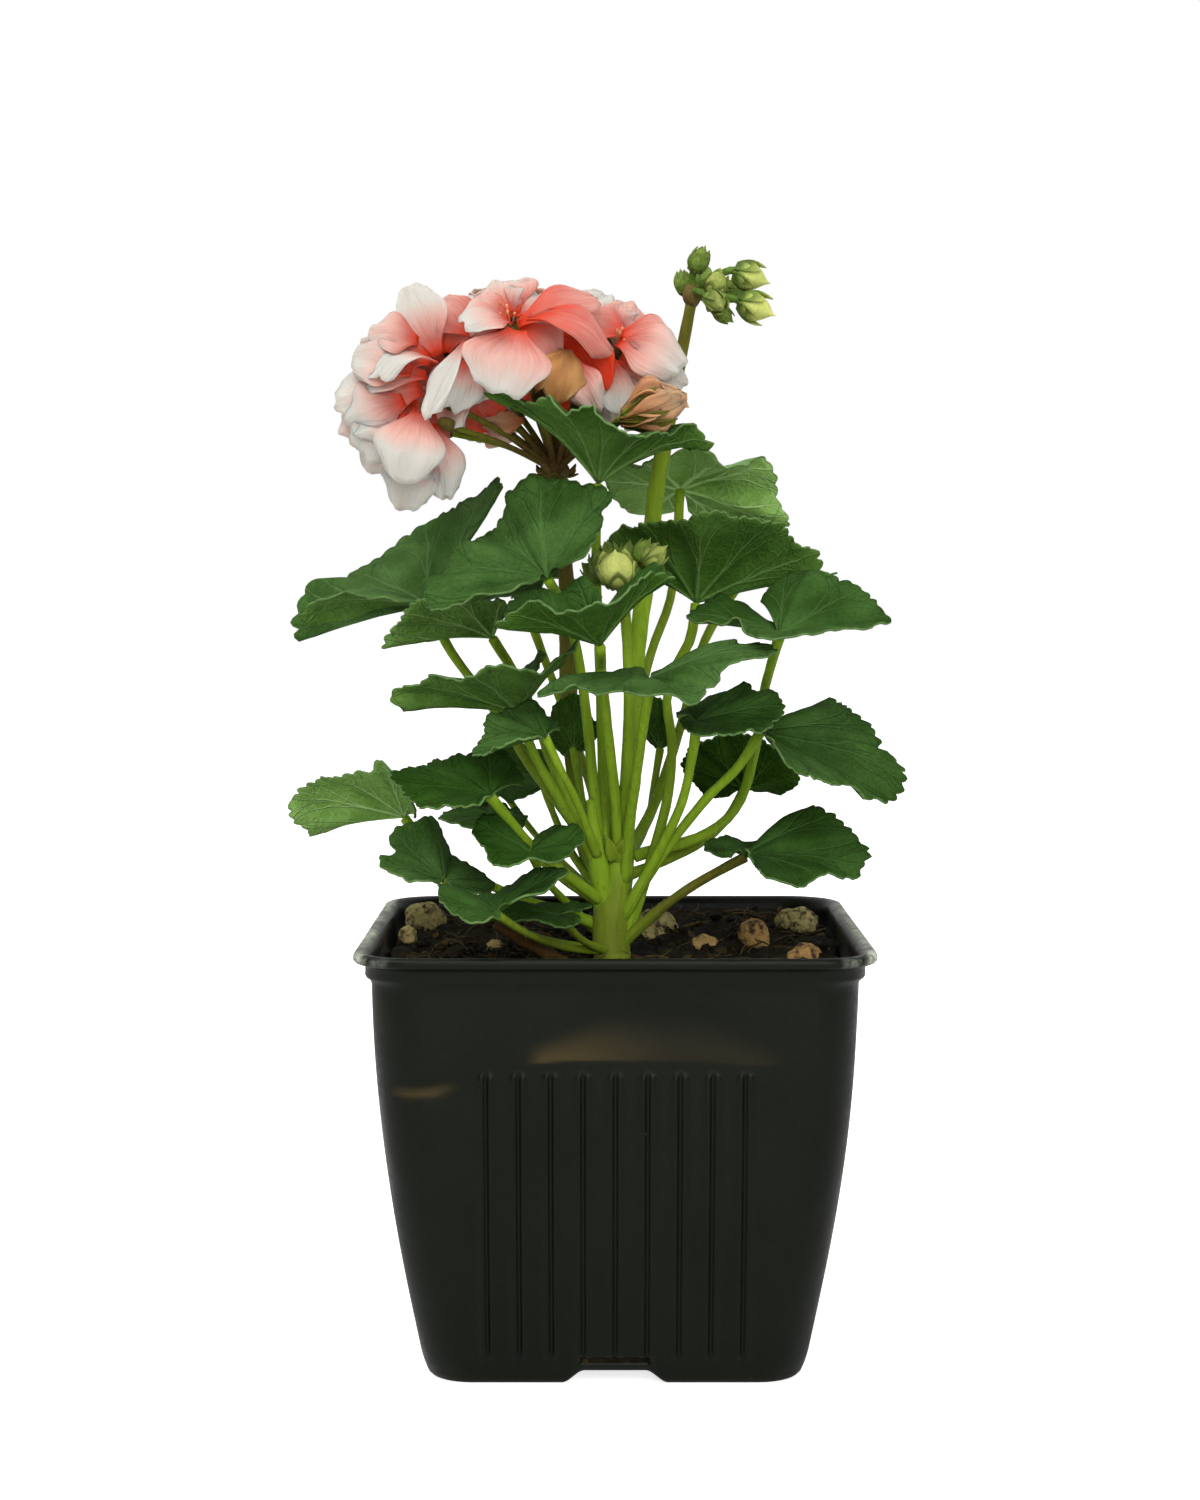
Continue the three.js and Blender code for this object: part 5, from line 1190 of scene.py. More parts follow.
def petal_silk():
    """Soft petal skin: red at the claw, salmon, then near white, with streaks along it."""
    settings = bpy.context.scene.geranium_flower

    def build(sheet, where, chart):
        place_on = sheet.spread("ShaderNodeSeparateXYZ", {0: chart})
        along, tint = place_on["Y"], sheet.attribute("tint")
        threads = sheet.read(0, "ShaderNodeCombineXYZ", {
            0: place_on["X"] * 26.0, 1: along * 1.6, 2: tint * 40.0,
        })
        streak = sheet.cloud(threads, 1.0, 3) - 0.5
        blotch = sheet.cloud(where, 160.0, 2) - 0.5
        ramp = sheet.add("ShaderNodeValToRGB", {0: along * tint + streak * 0.30 + blotch * 0.22})
        stops = ramp.color_ramp.elements
        stops[0].position, stops[0].color = 0.02, colour(settings.claw)
        stops[1].position, stops[1].color = 0.86, colour(settings.pale)
        stops.new(0.22).color = colour(settings.blush)
        stops.new(0.52).color = SOFT_PINK
        tan = sheet.mix(sheet.cloud(where, 260.0, 4), colour(settings.wilted, 0.5),
                        colour(settings.wilted, 1.5))
        body = sheet.mix(sheet.attribute("wilt"), Value(sheet, ramp.outputs[0]), tan)
        relief = sheet.bump(streak + blotch * 0.4, 0.35 * MM)
        return body, sheet.rise(streak, -0.3, 0.3, 0.5, 0.62), relief

    return finish("petal silk", build, Specular_IOR_Level=0.12, Subsurface_Weight=0.5,
                  Subsurface_Scale=1.0, Subsurface_Radius=(2.4 * MM, 1.3 * MM, 1.0 * MM))


BUD_BROWNS = ((0.07, 0.032, 0.010, 1), (0.15, 0.075, 0.022, 1))


def bud_skin():
    """Green sepals with a paler tip, and the yellow green of an opening bud."""
    settings = bpy.context.scene.geranium_flower

    def build(sheet, where, _):
        mottle = grain(sheet, where, 350.0, 1600.0)
        green = sheet.mix(mottle, colour(settings.sepal, 0.7), colour(settings.sepal, 1.35))
        ripe = sheet.mix(mottle, colour(settings.bud_tip, 0.85), colour(settings.bud_tip, 1.1))
        body = sheet.mix(sheet.attribute("ripe"), green, ripe)
        body = sheet.mix(sheet.attribute("brown"), body, sheet.mix(mottle, *BUD_BROWNS))
        relief = sheet.bump(sheet.cloud(where, 1500.0, 3), 0.2 * MM)
        return body, sheet.rise(mottle, 0, 1, 0.5, 0.66), relief

    return finish("bud skin", build, Specular_IOR_Level=0.15)


def stamen_skin():
    """Pink filaments with orange heads."""
    return two_tone("stamen skin", (500.0, 1800.0), (0.55, 0.14, 0.06, 1), (0.75, 0.42, 0.22, 1),
                    (0.45, 0.6))


def hair_skin():
    """Fine pale plant hairs."""
    return two_tone("plant hair", (300.0, 1500.0), (0.30, 0.38, 0.18, 1), (0.55, 0.60, 0.40, 1),
                    (0.5, 0.7))


# The pot
RIB_COUNT = 9
RIB_LOW = 5.5
RIB_HIGH = 66.2
RIB_HALF = 2.2
GROOVE_HALF = 0.8
RIB_ZONE = 28.5
RIB_COLUMNS = 142
MARGIN_COLUMNS = 5
CORNER_COLUMNS = 10
NOTCH_FLAT = 6.2
NOTCH_SLOPE = 4.6
DRAIN_LOW, DRAIN_HIGH, DRAIN_HALF, DRAIN_DEPTH = 3.1, 5.9, 7.2, 0.9
FOOT_NEAR, FOOT_FAR, FOOT_TOP = 36, 39.2, 6
FLAT_HALF = 44


def wall_columns():
    """One side's columns, left to right, then its corner: each a kind and a value."""
    columns = [("left", i / MARGIN_COLUMNS) for i in range(MARGIN_COLUMNS)]
    columns += [("ribs", 2 * i / RIB_COLUMNS - 1) for i in range(RIB_COLUMNS + 1)]
    columns += [("right", (i + 1) / MARGIN_COLUMNS) for i in range(MARGIN_COLUMNS)]
    columns += [("corner", (i + 1) / CORNER_COLUMNS) for i in range(CORNER_COLUMNS - 1)]
    return columns


def column_place(column, half, corner):
    """A column's place on the front side of a rounded square, in millimetres."""
    kind, value = column
    limit = half - corner
    ribs = min(RIB_ZONE, limit * 0.97)
    if kind == "ribs":
        return value * ribs, -half
    if kind == "left":
        return blend(-limit, -ribs, value), -half
    if kind == "right":
        return blend(ribs, limit, value), -half
    turn = value * math.pi / 2
    return limit + corner * math.sin(turn), -limit - corner * math.cos(turn)


def rib_rise(across, height, pitch, rise):
    """How far the ribs stand out, with a thin groove down the middle of each."""
    index = clamp(round(across / pitch), -(RIB_COUNT // 2), RIB_COUNT // 2)
    aside = across - index * pitch
    top = RIB_HIGH - RIB_HALF
    reach = math.hypot(aside, max(0, height - top))
    ridge = ease((RIB_HALF - reach) / (0.62 * RIB_HALF))
    inner = math.hypot(aside, max(0, height - top - 0.9))
    groove = ease((GROOVE_HALF - inner) / (0.8 * GROOVE_HALF))
    fade = ease((height - RIB_LOW + 0.4) / 1.6)
    return (ridge * rise - groove * (rise + 0.3)) * fade


def notch_lift(x, y):
    """How high the pot's underside is at a place: a channel crosses it both ways."""
    nearest = min(abs(x), abs(y))
    return FOOT_HEIGHT * (1 - ease((nearest - NOTCH_FLAT) / NOTCH_SLOPE))


# Rings of the pot: half the width, the corner's radius and the height
UNDER_RINGS = ((0.01, 0.002, 0), (12, 3, 0), (24, 6, 0), (32, 8, 0), (35.8, 8, 0))
FOOT_RINGS = ((36.9, 8.4, 0.0), (37.9, 8.7, 0.25), (38.5, 8.9, 0.9))
RIM_RINGS = (
    (49.3, 11, 83.2), (50.0, 11, 83.8), (50.25, 11, 84.4), (50.2, 11, 85.9), (50.5, 11.1, 86.3),
    (51.4, 11.6, 86.7), (52.1, 11.9, 87.0), (52.5, 12, 87.5), (52.5, 12, 88.3), (52.3, 12, 88.75),
    (51.8, 11.9, 89.0), (51.0, 11.6, 89.0), (50.3, 11.4, 88.8), (49.6, 11.2, 88.3), (49.25, 11, 87.4),
    (49.1, 11, 86.2), (49.0, 11, 84.6), (48.4, 10.4, 83.6),
)
# Heights of the wall's other rings, close together at the drain openings and the dents
OUTER_HEIGHTS = (
    1.8, 2.8, DRAIN_LOW - 0.12, DRAIN_LOW + 0.12, 4.7, DRAIN_HIGH - 0.12, DRAIN_HIGH + 0.12, 6.5, 7.4, 9,
    *(9 + 2.9 * i for i in range(1, 17)),
    57.2, 58.4, 59.4, 60.4, 61.4, 62.4, 63.2, 63.9, 64.5, 65.0, 65.5, 66.0, 66.5, 67.0,
    67.5, 68.0, 68.6, 69.3, 70.1, 71, 72, 73, 74, 75, 76, 77, 78.2, 79.5, 81, 82.4,
)
INNER_HEIGHTS = (82.6, 80, 77, 74, 71, 68, 66, 60, 50, 38, 26, 14, 6)


def pot_rows():
    """The wall's section from the middle of the underside, round the rim, to the floor inside."""
    rows = [("under", *ring) for ring in UNDER_RINGS] + [("outer", *ring) for ring in FOOT_RINGS]
    rows += [("outer", wall_half(z) - 0.75 * max(0, 1 - z / FOOT_TOP) ** 2, wall_corner(z), z)
             for z in OUTER_HEIGHTS]
    rows += [("rim", *ring) for ring in RIM_RINGS]
    rows += [("inner", wall_half(z) - WALL, wall_corner(z) - WALL, z) for z in INNER_HEIGHTS]
    floor_half = wall_half(4) - WALL - 1
    return rows + [("floor", *ring, FLOOR_TOP) for ring in ((floor_half, 7.5), (20, 5), (0.01, 0.002))]


def pot_point(row, column, turned, settings):
    """A point of the pot's shell."""
    kind, half, corner, height = row
    across, outward = column_place(column, half, corner)
    flat = column[0] != "corner"
    lift = notch_lift(across, outward)
    if kind in ("under", "outer") and height < FOOT_TOP:
        height = lift + height * (1 - lift / FOOT_TOP)
    if kind == "outer" and flat:
        outward -= rib_rise(across, height, settings.rib_pitch / MM, settings.rib_rise / MM)
        if DRAIN_LOW < row[3] < DRAIN_HIGH and abs(across) < DRAIN_HALF:
            outward += DRAIN_DEPTH
    if kind in ("outer", "inner") and turned == 0:
        outward += front_dent(across, height)[0]
    if kind in ("outer", "inner", "rim"):
        sway = noise.noise(Vector((across * 0.03, turned * 7.3, height * 0.025)))
        outward += 0.35 * sway * ease(height / 30) * (0.3 if kind == "rim" else 1)
    cosine, sine = ((1, 0), (0, 1), (-1, 0), (0, -1))[turned]
    x, y = across * cosine - outward * sine, across * sine + outward * cosine
    return AXIS + Vector((x, y, height)) * MM


class GERANIUM_OT_pot(bpy.types.Operator):
    """Models the square nursery pot as one thin shell, ribbed on its four sides"""

    bl_idname = "geranium.pot"
    bl_label = "Pot"

    def execute(self, context):
        settings = context.scene.geranium_pot
        side = wall_columns()
        rows = pot_rows()
        columns = 4 * len(side)

        def point(across, up):
            index = round(across * columns) % columns
            turned, spot = divmod(index, len(side))
            return pot_point(rows[round(up * (len(rows) - 1))], side[spot], turned, settings)

        pot = grid_piece("nursery_pot", columns, len(rows) - 1, point, outward=True, distance=0.03 * MM)
        worn, chalk = [], []
        for vertex in pot.data.vertices:
            spot = (vertex.co - AXIS) / MM
            front = spot.y < -40 and spot.z < 83 and abs(spot.x) < FLAT_HALF
            # The dent's painted reflection mask, only on the front wall.
            worn.append(front_dent(spot.x, spot.z)[1] if front else 0)
            side = ease((abs(spot.x) - FLAT_HALF) / 6)
            rim = ease((spot.z - 86.6) / 1.2) * ease((max(abs(spot.x), abs(spot.y)) - 49.8) / 0.9)
            patch = 0.85 + 0.9 * noise.noise(spot * 0.11)
            chalk.append(clamp(rim * side * patch))
        paint(pot, "worn", worn)
        paint(pot, "chalk", chalk)
        dress(pot, pot_plastic(), peat())
        for face in pot.data.polygons:
            spot = (face.center - AXIS) / MM
            across, outward = sorted((abs(spot.x), abs(spot.y)))
            lift = notch_lift(spot.x, spot.y)
            low, high = (lift + z * (1 - lift / FOOT_TOP) for z in (DRAIN_LOW, DRAIN_HIGH))
            if across < DRAIN_HALF and FOOT_NEAR < outward < FOOT_FAR and low < spot.z < high:
                face.material_index = 1
        seat(pot, "black_pot", "pot")
        return {"FINISHED"}


# The potting mix
SOIL_LEVELS = (80, 78, 76, 74, 72, 70, 67, 58, 42, 20, FLOOR_TOP + 0.4)
SOIL_GRID = 110
SOIL_SEED = 5
SOIL_GAP = 0.35
SOIL_CLEAR = 82
CRUMB_SPREAD = 46
FIBRE_SPREAD = 44
FIBRE_BENDS = ((-4, 0, 0), (-2, 0.7, 0.25), (0, 0.3, 0.5), (2.2, -0.7, 0.2), (4, -0.2, 0))
OLD_STEM = ((495, 925, -30), (522, 940, -28), (545, 953, -24), (566, 962, -18))


def mix_surface(x, y):
    """The height of the mix with its crumbs, at a place beside the pot's axis."""
    spot = Vector((x, y, 0.3)) / MM
    rough = noise.fractal(spot * 0.33, 0.8, 2.1, 4)
    return soil_height(x, y) + (0.75 * rough + 0.25 * noise.noise(spot * 1.3)) * MM


def soil_half(height):
    """Half the mix's width at a height, in millimetres."""
    return wall_half(height) - WALL - SOIL_GAP


class GERANIUM_OT_soil(bpy.types.Operator):
    """Models the potting mix with its crumbs and peat fibres"""

    bl_idname = "geranium.soil"
    bl_label = "Potting mix"

    def execute(self, context):
        settings = context.scene.geranium_soil
        half = soil_half(SOIL_FRONT)

        def lay(across, up):
            u, v = 2 * across - 1, 2 * up - 1
            rounding = 1 - 0.115 * u * u * v * v
            x, y = half * u * rounding * MM, half * v * rounding * MM
            height = mix_surface(x, y)
            shrink = soil_half(min(height / MM, SOIL_CLEAR)) / half
            x, y = x * shrink, y * shrink
            if v < -0.9:
                y += front_dent(x / MM, height / MM)[0] * MM
            return AXIS + Vector((x, y, height))

        mix = grid_piece("potting_mix", SOIL_GRID, SOIL_GRID, lay)
        pick(mix)
        bpy.ops.object.mode_set(mode="EDIT")
        for level in SOIL_LEVELS:
            bpy.ops.mesh.select_all(action="DESELECT")
            bpy.ops.mesh.select_non_manifold()
            bpy.ops.mesh.extrude_region_move()
            shell = bmesh.from_edit_mesh(mix.data)
            for vertex in shell.verts:
                if vertex.select:
                    spot = vertex.co - AXIS
                    shrink = soil_half(level) / soil_half(min(spot.z / MM, SOIL_CLEAR))
                    spot.x, spot.y, spot.z = spot.x * shrink, spot.y * shrink, level * MM
                    if spot.y < -0.9 * soil_half(level) * MM:
                        dent = front_dent(spot.x / MM, level)[0]
                        spot.y = max(spot.y, (dent - soil_half(level)) * MM)
                    vertex.co = AXIS + spot
            bmesh.update_edit_mesh(mix.data)
        bpy.ops.mesh.select_all(action="DESELECT")
        bpy.ops.mesh.select_non_manifold()
        bpy.ops.mesh.edge_face_add()
        bpy.ops.mesh.select_all(action="SELECT")
        bpy.ops.mesh.normals_make_consistent(inside=False)
        bpy.ops.object.mode_set(mode="OBJECT")
        mix.data.shade_smooth()

        luck = random.Random(SOIL_SEED)
        bpy.ops.mesh.primitive_ico_sphere_add(subdivisions=1, radius=MM)
        crumb = bpy.context.object
        for vertex in crumb.data.vertices:
            vertex.co *= 0.8 + 0.5 * noise.noise(vertex.co / MM * 1.7)
        places = []
        for _ in range(settings.crumbs):
            x, y = (luck.uniform(-CRUMB_SPREAD, CRUMB_SPREAD) * MM for _ in range(2))
            size = 0.35 + 1.4 * luck.random() ** 3
            spot = AXIS + Vector((x, y, mix_surface(x, y) + 0.25 * size * MM))
            turn = Quaternion([luck.gauss(0, 1) for _ in range(4)])
            stretch = Matrix.Diagonal((size * luck.uniform(0.7, 1.5), size, size * 0.8, 1))
            places.append(Matrix.Translation(spot) @ turn.normalized().to_matrix().to_4x4() @ stretch)
        crumbs = scattered("peat_crumbs", crumb, places)

        fibre = tube("fibre", [Vector(bend) * MM for bend in FIBRE_BENDS], (0.10, 0.16, 0.13, 0.05), 4, 6)
        places = []
        for _ in range(settings.fibres):
            x, y = (luck.uniform(-FIBRE_SPREAD, FIBRE_SPREAD) * MM for _ in range(2))
            spot = AXIS + Vector((x, y, mix_surface(x, y) + 0.5 * MM))
            turn = Matrix.Rotation(luck.uniform(0, 2 * math.pi), 4, "Z")
            turn = turn @ Matrix.Rotation(luck.gauss(0, 0.35), 4, "Y")
            size = luck.uniform(0.35, 1.3)
            places.append(Matrix.Translation(spot) @ turn @ Matrix.Scale(size, 4))
        fibres = scattered("peat_fibres", fibre, places)

        old = tube("old_stem", [place(spot) for spot in OLD_STEM], (0.9, 1.3, 1.4, 1.0), 10, 20,
                   wobble=0.3, brown=(1, 1))
        dress(mix, peat())
        dress(crumbs, peat())
        dress(fibres, fibre_skin())
        dress(old, stem_skin())
        seat(mix, "potting_mix", "soil")
        for piece in (crumbs, fibres, old):
            seat(piece, "potting_mix")
        return {"FINISHED"}


class GERANIUM_OT_granules(bpy.types.Operator):
    """Models the pitted clay granules that lie on the mix"""

    bl_idname = "geranium.granules"
    bl_label = "Clay granules"

    def execute(self, context):
        for granule in GRANULES:
            centre = place(granule.spot)
            beside = centre - AXIS
            centre.z = soil_height(beside.x, beside.y) + 0.25 * granule.size[2] * MM
            deselect()
            bpy.ops.mesh.primitive_ico_sphere_add(subdivisions=5, radius=1)
            stone = named(granule.node.replace("granule", "clay"))
            turn = Matrix.Rotation(granule.turn, 3, "Z")
            size = Matrix.Diagonal(granule.size)
            for vertex in stone.data.vertices:
                spot = vertex.co.copy()
                facet = noise.noise(spot * 1.3 + Vector((granule.turn * 5, 0, 0)))
                pits = noise.fractal(spot * 3.5 + Vector((0, granule.turn * 9, 0)), 0.7, 2.2, 4)
                spot *= 0.97 + 0.20 * facet + 0.075 * pits
                vertex.co = centre + turn @ (size @ spot) * MM
            stone.data.shade_smooth()
            paint(stone, "orange", granule.orange)
            dress(stone, clay())
            seat(stone, "clay_granule", granule.node)
        return {"FINISHED"}


# Blades
class Blade:
    """A blade's middle surface, set out from the foot of its veins."""

    def __init__(self, leaf, columns):
        self.foot = place(leaf.foot)
        last = len(leaf.lobes) - 1
        arms = []
        for index, lobe in enumerate(leaf.lobes):
            share = BASAL_REACH if index in (0, last) else 1
            arms.append(place_at_reach(self.foot, leaf.reach * MM * share, lobe) - self.foot)
        ends = [self.shoulder(arms[0], arms[1]), self.shoulder(arms[last], arms[last - 1])]
        self.arms = Curve([ends[0], *arms, ends[1]]).evenly(columns)
        self.normal = Vector()
        for first, second in zip(arms, arms[1:]):
            self.normal += first.cross(second)
        self.normal.normalize()
        self.dome = leaf.dome * leaf.reach * MM

    @staticmethod
    def shoulder(arm, neighbour):
        """The blade's edge beside the cleft."""
        axis = arm.cross(neighbour).normalized()
        return (Quaternion(axis, -SHOULDER_TURN) @ arm) * SHOULDER_REACH

    def point(self, index, out, tooth):
        """A point of the surface at a column and a share of the way to the margin."""
        arm = self.arms[index] * (out * (1 + tooth))
        return self.foot + arm + self.normal * (self.dome * out * (1 - out))


LARGE_GRID = (170, 14)
SMALL_GRID = (120, 11)
SMALL_TEETH = 0.72
USUAL_REACH = 25
FULL_SWING = 6.28


def blade_piece(leaf, settings, seed):
    """A blade with round teeth, a waved margin and quilting between its veins."""
    columns, rows = SMALL_GRID if leaf.small else LARGE_GRID
    teeth = round(settings.teeth * (SMALL_TEETH if leaf.small else 1))
    blade = Blade(leaf, columns)

    def point(across, up):
        around = 1 - across
        drift = around + 0.006 * math.sin(2 * math.pi * 5 * around + seed)
        scallop = abs(math.sin(math.pi * teeth * drift)) ** 0.75
        scallop *= 0.8 + 1.1 * noise.noise(Vector((around * 27, seed * 3.1, 0)))
        lobe = 0.5 - 0.5 * math.cos(2 * math.pi * VEINS * around)
        tooth = settings.tooth_depth * (scallop - 0.75) * ease((up - 0.78) / 0.22)
        tooth += 0.035 * (lobe - 0.6) * ease((up - 0.5) / 0.5)
        return blade.point(round(around * columns), up, tooth)

    piece = grid_piece(leaf.node.replace("leaf", "blade"), columns, rows, point)
    mesh = piece.data
    chart = mesh.uv_layers.active.data
    spots = {}
    for loop in mesh.loops:
        spots[loop.vertex_index] = chart[loop.index].uv.copy()
    swing = random.Random(seed).random() * FULL_SWING
    size = leaf.reach / USUAL_REACH
    moves = []
    for vertex in mesh.vertices:
        across, up = spots[vertex.index]
        around = 1 - across
        quilt = 0.5 - 0.5 * math.cos(2 * math.pi * (VEINS * around - 0.5))
        lift = 0.5 * size * quilt * 4 * up * (1 - up * 0.78)
        wave = 1.5 * noise.noise(Vector((around * 13, swing, 0)))
        wave += 1.1 * noise.noise(Vector((around * 34, swing, 5)))
        lift += wave * (settings.ruffle / MM) * size * up**4
        lift += 1.0 * noise.noise(vertex.co * 95) * up
        lift += 0.22 * noise.noise(vertex.co * 340) * up
        moves.append(vertex.normal * (lift * MM))
    for vertex, move in zip(mesh.vertices, moves):
        vertex.co += move
    return piece


# Painted light and shade for each leaf: low values darken shaded blades, high ones brighten backlit blades
# as if lit through.
LEAF_PAINTED_LIGHT = {
    "leaf_back_high": 0.97, "leaf_far_left_low": 0.65, "leaf_crown": 0.16, "leaf_left_broad": 0.10,
    "leaf_far_left": 0.25, "leaf_left_under": 0.40, "leaf_right_cup": 0.12, "leaf_right_high": 0.09,
    "leaf_front": 0.18, "leaf_right_lobe": 0.14, "leaf_low_left": 0.16, "leaf_low_right": 0.08,
    "leaf_right_shade": 0.00, "leaf_middle": 0.11, "leaf_middle_back": 0.05,
    "leaf_right_ruffled": 0.12, "leaf_hidden_right": 0.18, "leaf_left_mid": 0.19,
    "leaf_left_low": 0.00, "leaf_low_saddle": 0.01,
}
USUAL_PAINTED_LIGHT = 0.09


class GERANIUM_OT_leaves(bpy.types.Operator):
    """Models the leaf blades, each with its teeth, ruffles and palmate veins"""

    bl_idname = "geranium.leaves"
    bl_label = "Leaf blades"

    def execute(self, context):
        settings = context.scene.geranium_leaf
        for seed, leaf in enumerate(LEAVES):
            piece = blade_piece(leaf, settings, seed)
            dress(piece, blade_upper(), blade_under(), blade_margin())
            thicken(piece, settings.thickness, under=1, rim=2)
            # Each blade carries its painted light and shade gain.
            paint(piece, "shade", LEAF_PAINTED_LIGHT.get(leaf.node, USUAL_PAINTED_LIGHT))
            seat(piece, "green_leaf", leaf.node)
        return {"FINISHED"}


# Stems
STALK_RADIUS = 1.15
SMALL_STALK_RADIUS = 0.9
STALK_TAPER = (1.2, 1, 0.9, 0.85, 1)
STALK_BROWN = {
    "leaf_low_right": (0.3, 0.75, 0.8), "leaf_low_centre": (0.2, 0.5),
    "leaf_low_left": (0.1, 0.5, 0.6), "leaf_low_front": (0.1, 0.5, 0.3),
}


def stalk_tube(leaf):
    """A leaf's stalk from the stem to the foot of its blade."""
    blade = Blade(leaf, 24)
    points = [blade.foot - blade.normal * (0.3 * MM), *(place(spot) for spot in leaf.stalk)]
    points.reverse()
    radius = SMALL_STALK_RADIUS if leaf.small else STALK_RADIUS
    # Painted shade: stalks that stand further back get more of the darker brown.
    shaded = 0.32 * clamp((blade.foot.y - AXIS.y) / MM / 30 + 0.35)
    return tube(leaf.node + "_stalk", points, [radius * taper for taper in STALK_TAPER],
                10, 26, wobble=0.12, brown=STALK_BROWN.get(leaf.node, (0.15, shaded, shaded * 0.5)))


STIPULES = (
    ((614, 862, -10), (607, 836, -12), 2.6), ((618, 858, -10), (623, 838, -12), 2.2),
    ((602, 872, -10), (596, 852, -12), 1.8), ((626, 880, -9), (632, 862, -10), 1.8),
)


class GERANIUM_OT_stems(bpy.types.Operator):
    """Models the green stem, the leaf stalks and the bud stalks, with the stem's stipules"""

    bl_idname = "geranium.stems"
    bl_label = "Stems"

    def execute(self, context):
        down = Vector((0, 0, STEM_IN_SOIL))
        pieces = [tube("root", [STEM_FOOT - down, STEM_FOOT - down * 0.3, STEM_FOOT + down * 0.08],
                       (2.6, 3.6, 4.0), 20, 10, brown=(0.5, 0.5))]
        for stalk in SHOOTS + BUD_STALKS:
            pieces.append(tube("shoot", [place(spot) for spot in stalk.path], stalk.radii, 18, 44,
                               wobble=0.1, brown=stalk.brown))
        pieces += [stalk_tube(leaf) for leaf in LEAVES]
        for foot, tip, width in STIPULES:
            scale = small_blade(place(foot), place(tip), Vector((0, -1, 0.2)), width * MM)
            pieces.append(paint(scale, "brown", 0.35))
        stems = joined("green_stems", pieces)
        dress(stems, stem_skin())
        seat(stems, "green_stem", "stems")
        return {"FINISHED"}


def small_blade(foot, tip, facing, width, thickness=0.35 * MM, curl=0.12):
    """A small pointed scale, such as a stipule or a sepal."""
    along = tip - foot
    length = along.length
    along.normalize()
    face = (facing - along * facing.dot(along)).normalized()
    across = along.cross(face)

    def point(u, v):
        half = width / 2 * math.sin(math.pi * min(1, 0.18 + 0.82 * v)) ** 0.8 if v < 1 else 0
        side = 2 * u - 1
        bow = curl * length * math.sin(math.pi * v * 0.8) - 0.25 * half * (1 - side * side)
        return foot + along * (length * v) + across * (side * half) + face * bow

    scale = grid_piece("scale", 5, 6, point)
    thicken(scale, thickness)
    return scale


# Flowers
def spindle(name, root, tip, radius_at, sides, rows, ridges=0.0):
    """A closed round form along an axis, such as a bud: radius_at(share) in millimetres."""
    axis = tip - root
    first = axis.orthogonal().normalized()
    second = axis.normalized().cross(first)

    def point(across, up):
        turn = 2 * math.pi * across
        radius = radius_at(up) * MM * (1 + ridges * math.cos(5 * turn) * math.sin(math.pi * up))
        return root + axis * up + (first * math.cos(turn) + second * math.sin(turn)) * radius

    return grid_piece(name, sides, rows, point, outward=True, distance=SOLDER)


WILTED_TINT = 0.85


def petal_piece(heart, tip, facing, width, tint, seed, bow=0.13):
    """A petal: it widens from its claw, rounds off, bends back along its length and ruffles."""
    luck = random.Random(seed)
    along = tip - heart
    length = along.length
    along.normalize()
    face = (facing - along * facing.dot(along)).normalized()
    across = along.cross(face).normalized()
    bow += luck.uniform(-0.02, 0.03)
    cup = luck.uniform(0.02, 0.16)
    wave = luck.uniform(0, FULL_SWING)
    curl = luck.uniform(-0.05, 0.14)
    notch = luck.uniform(0.0, 0.05)
    wilted = max(0, -tint)
    ruffle = (0.6 + 1.8 * wilted**4) * MM

    def point(u, v):
        side = 2 * u - 1
        widening = 0.22 + 0.78 * ease(v / 0.58)
        half = width * 0.6 * widening * (1 - 0.30 * ease((v - 0.62) / 0.38) ** 1.5)
        ragged = 0.09 * noise.noise(Vector((side * 2.3, seed * 1.7, 0))) * v * v
        reach = v * (1 - 0.20 * abs(side) ** 2.2 * v - notch * math.exp(-(side / 0.22) ** 2) * v**3 + ragged)
        rise = bow * length * math.sin(math.pi * v) + cup * width * side * side * 0.5
        rise -= curl * length * ease((v - 0.7) / 0.3)
        rise += ruffle * math.sin(5.2 * side + wave) * v * v
        rise += 0.5 * ruffle * math.sin(9.0 * side - 7 * v + 2 * wave) * v
        return heart + along * (length * reach) + across * (half * side) + face * rise

    petal = grid_piece("petal", 12, 13, point, distance=0.001 * MM)
    thicken(petal, bpy.context.scene.geranium_flower.petal_thickness)
    paint(petal, "tint", WILTED_TINT if tint < 0 else tint)
    return paint(petal, "wilt", wilted)


PETAL_SEED = 40
STAMEN_SEED = 8
OPEN_FLORETS = 6
STAMENS = 6
PETALS = 5


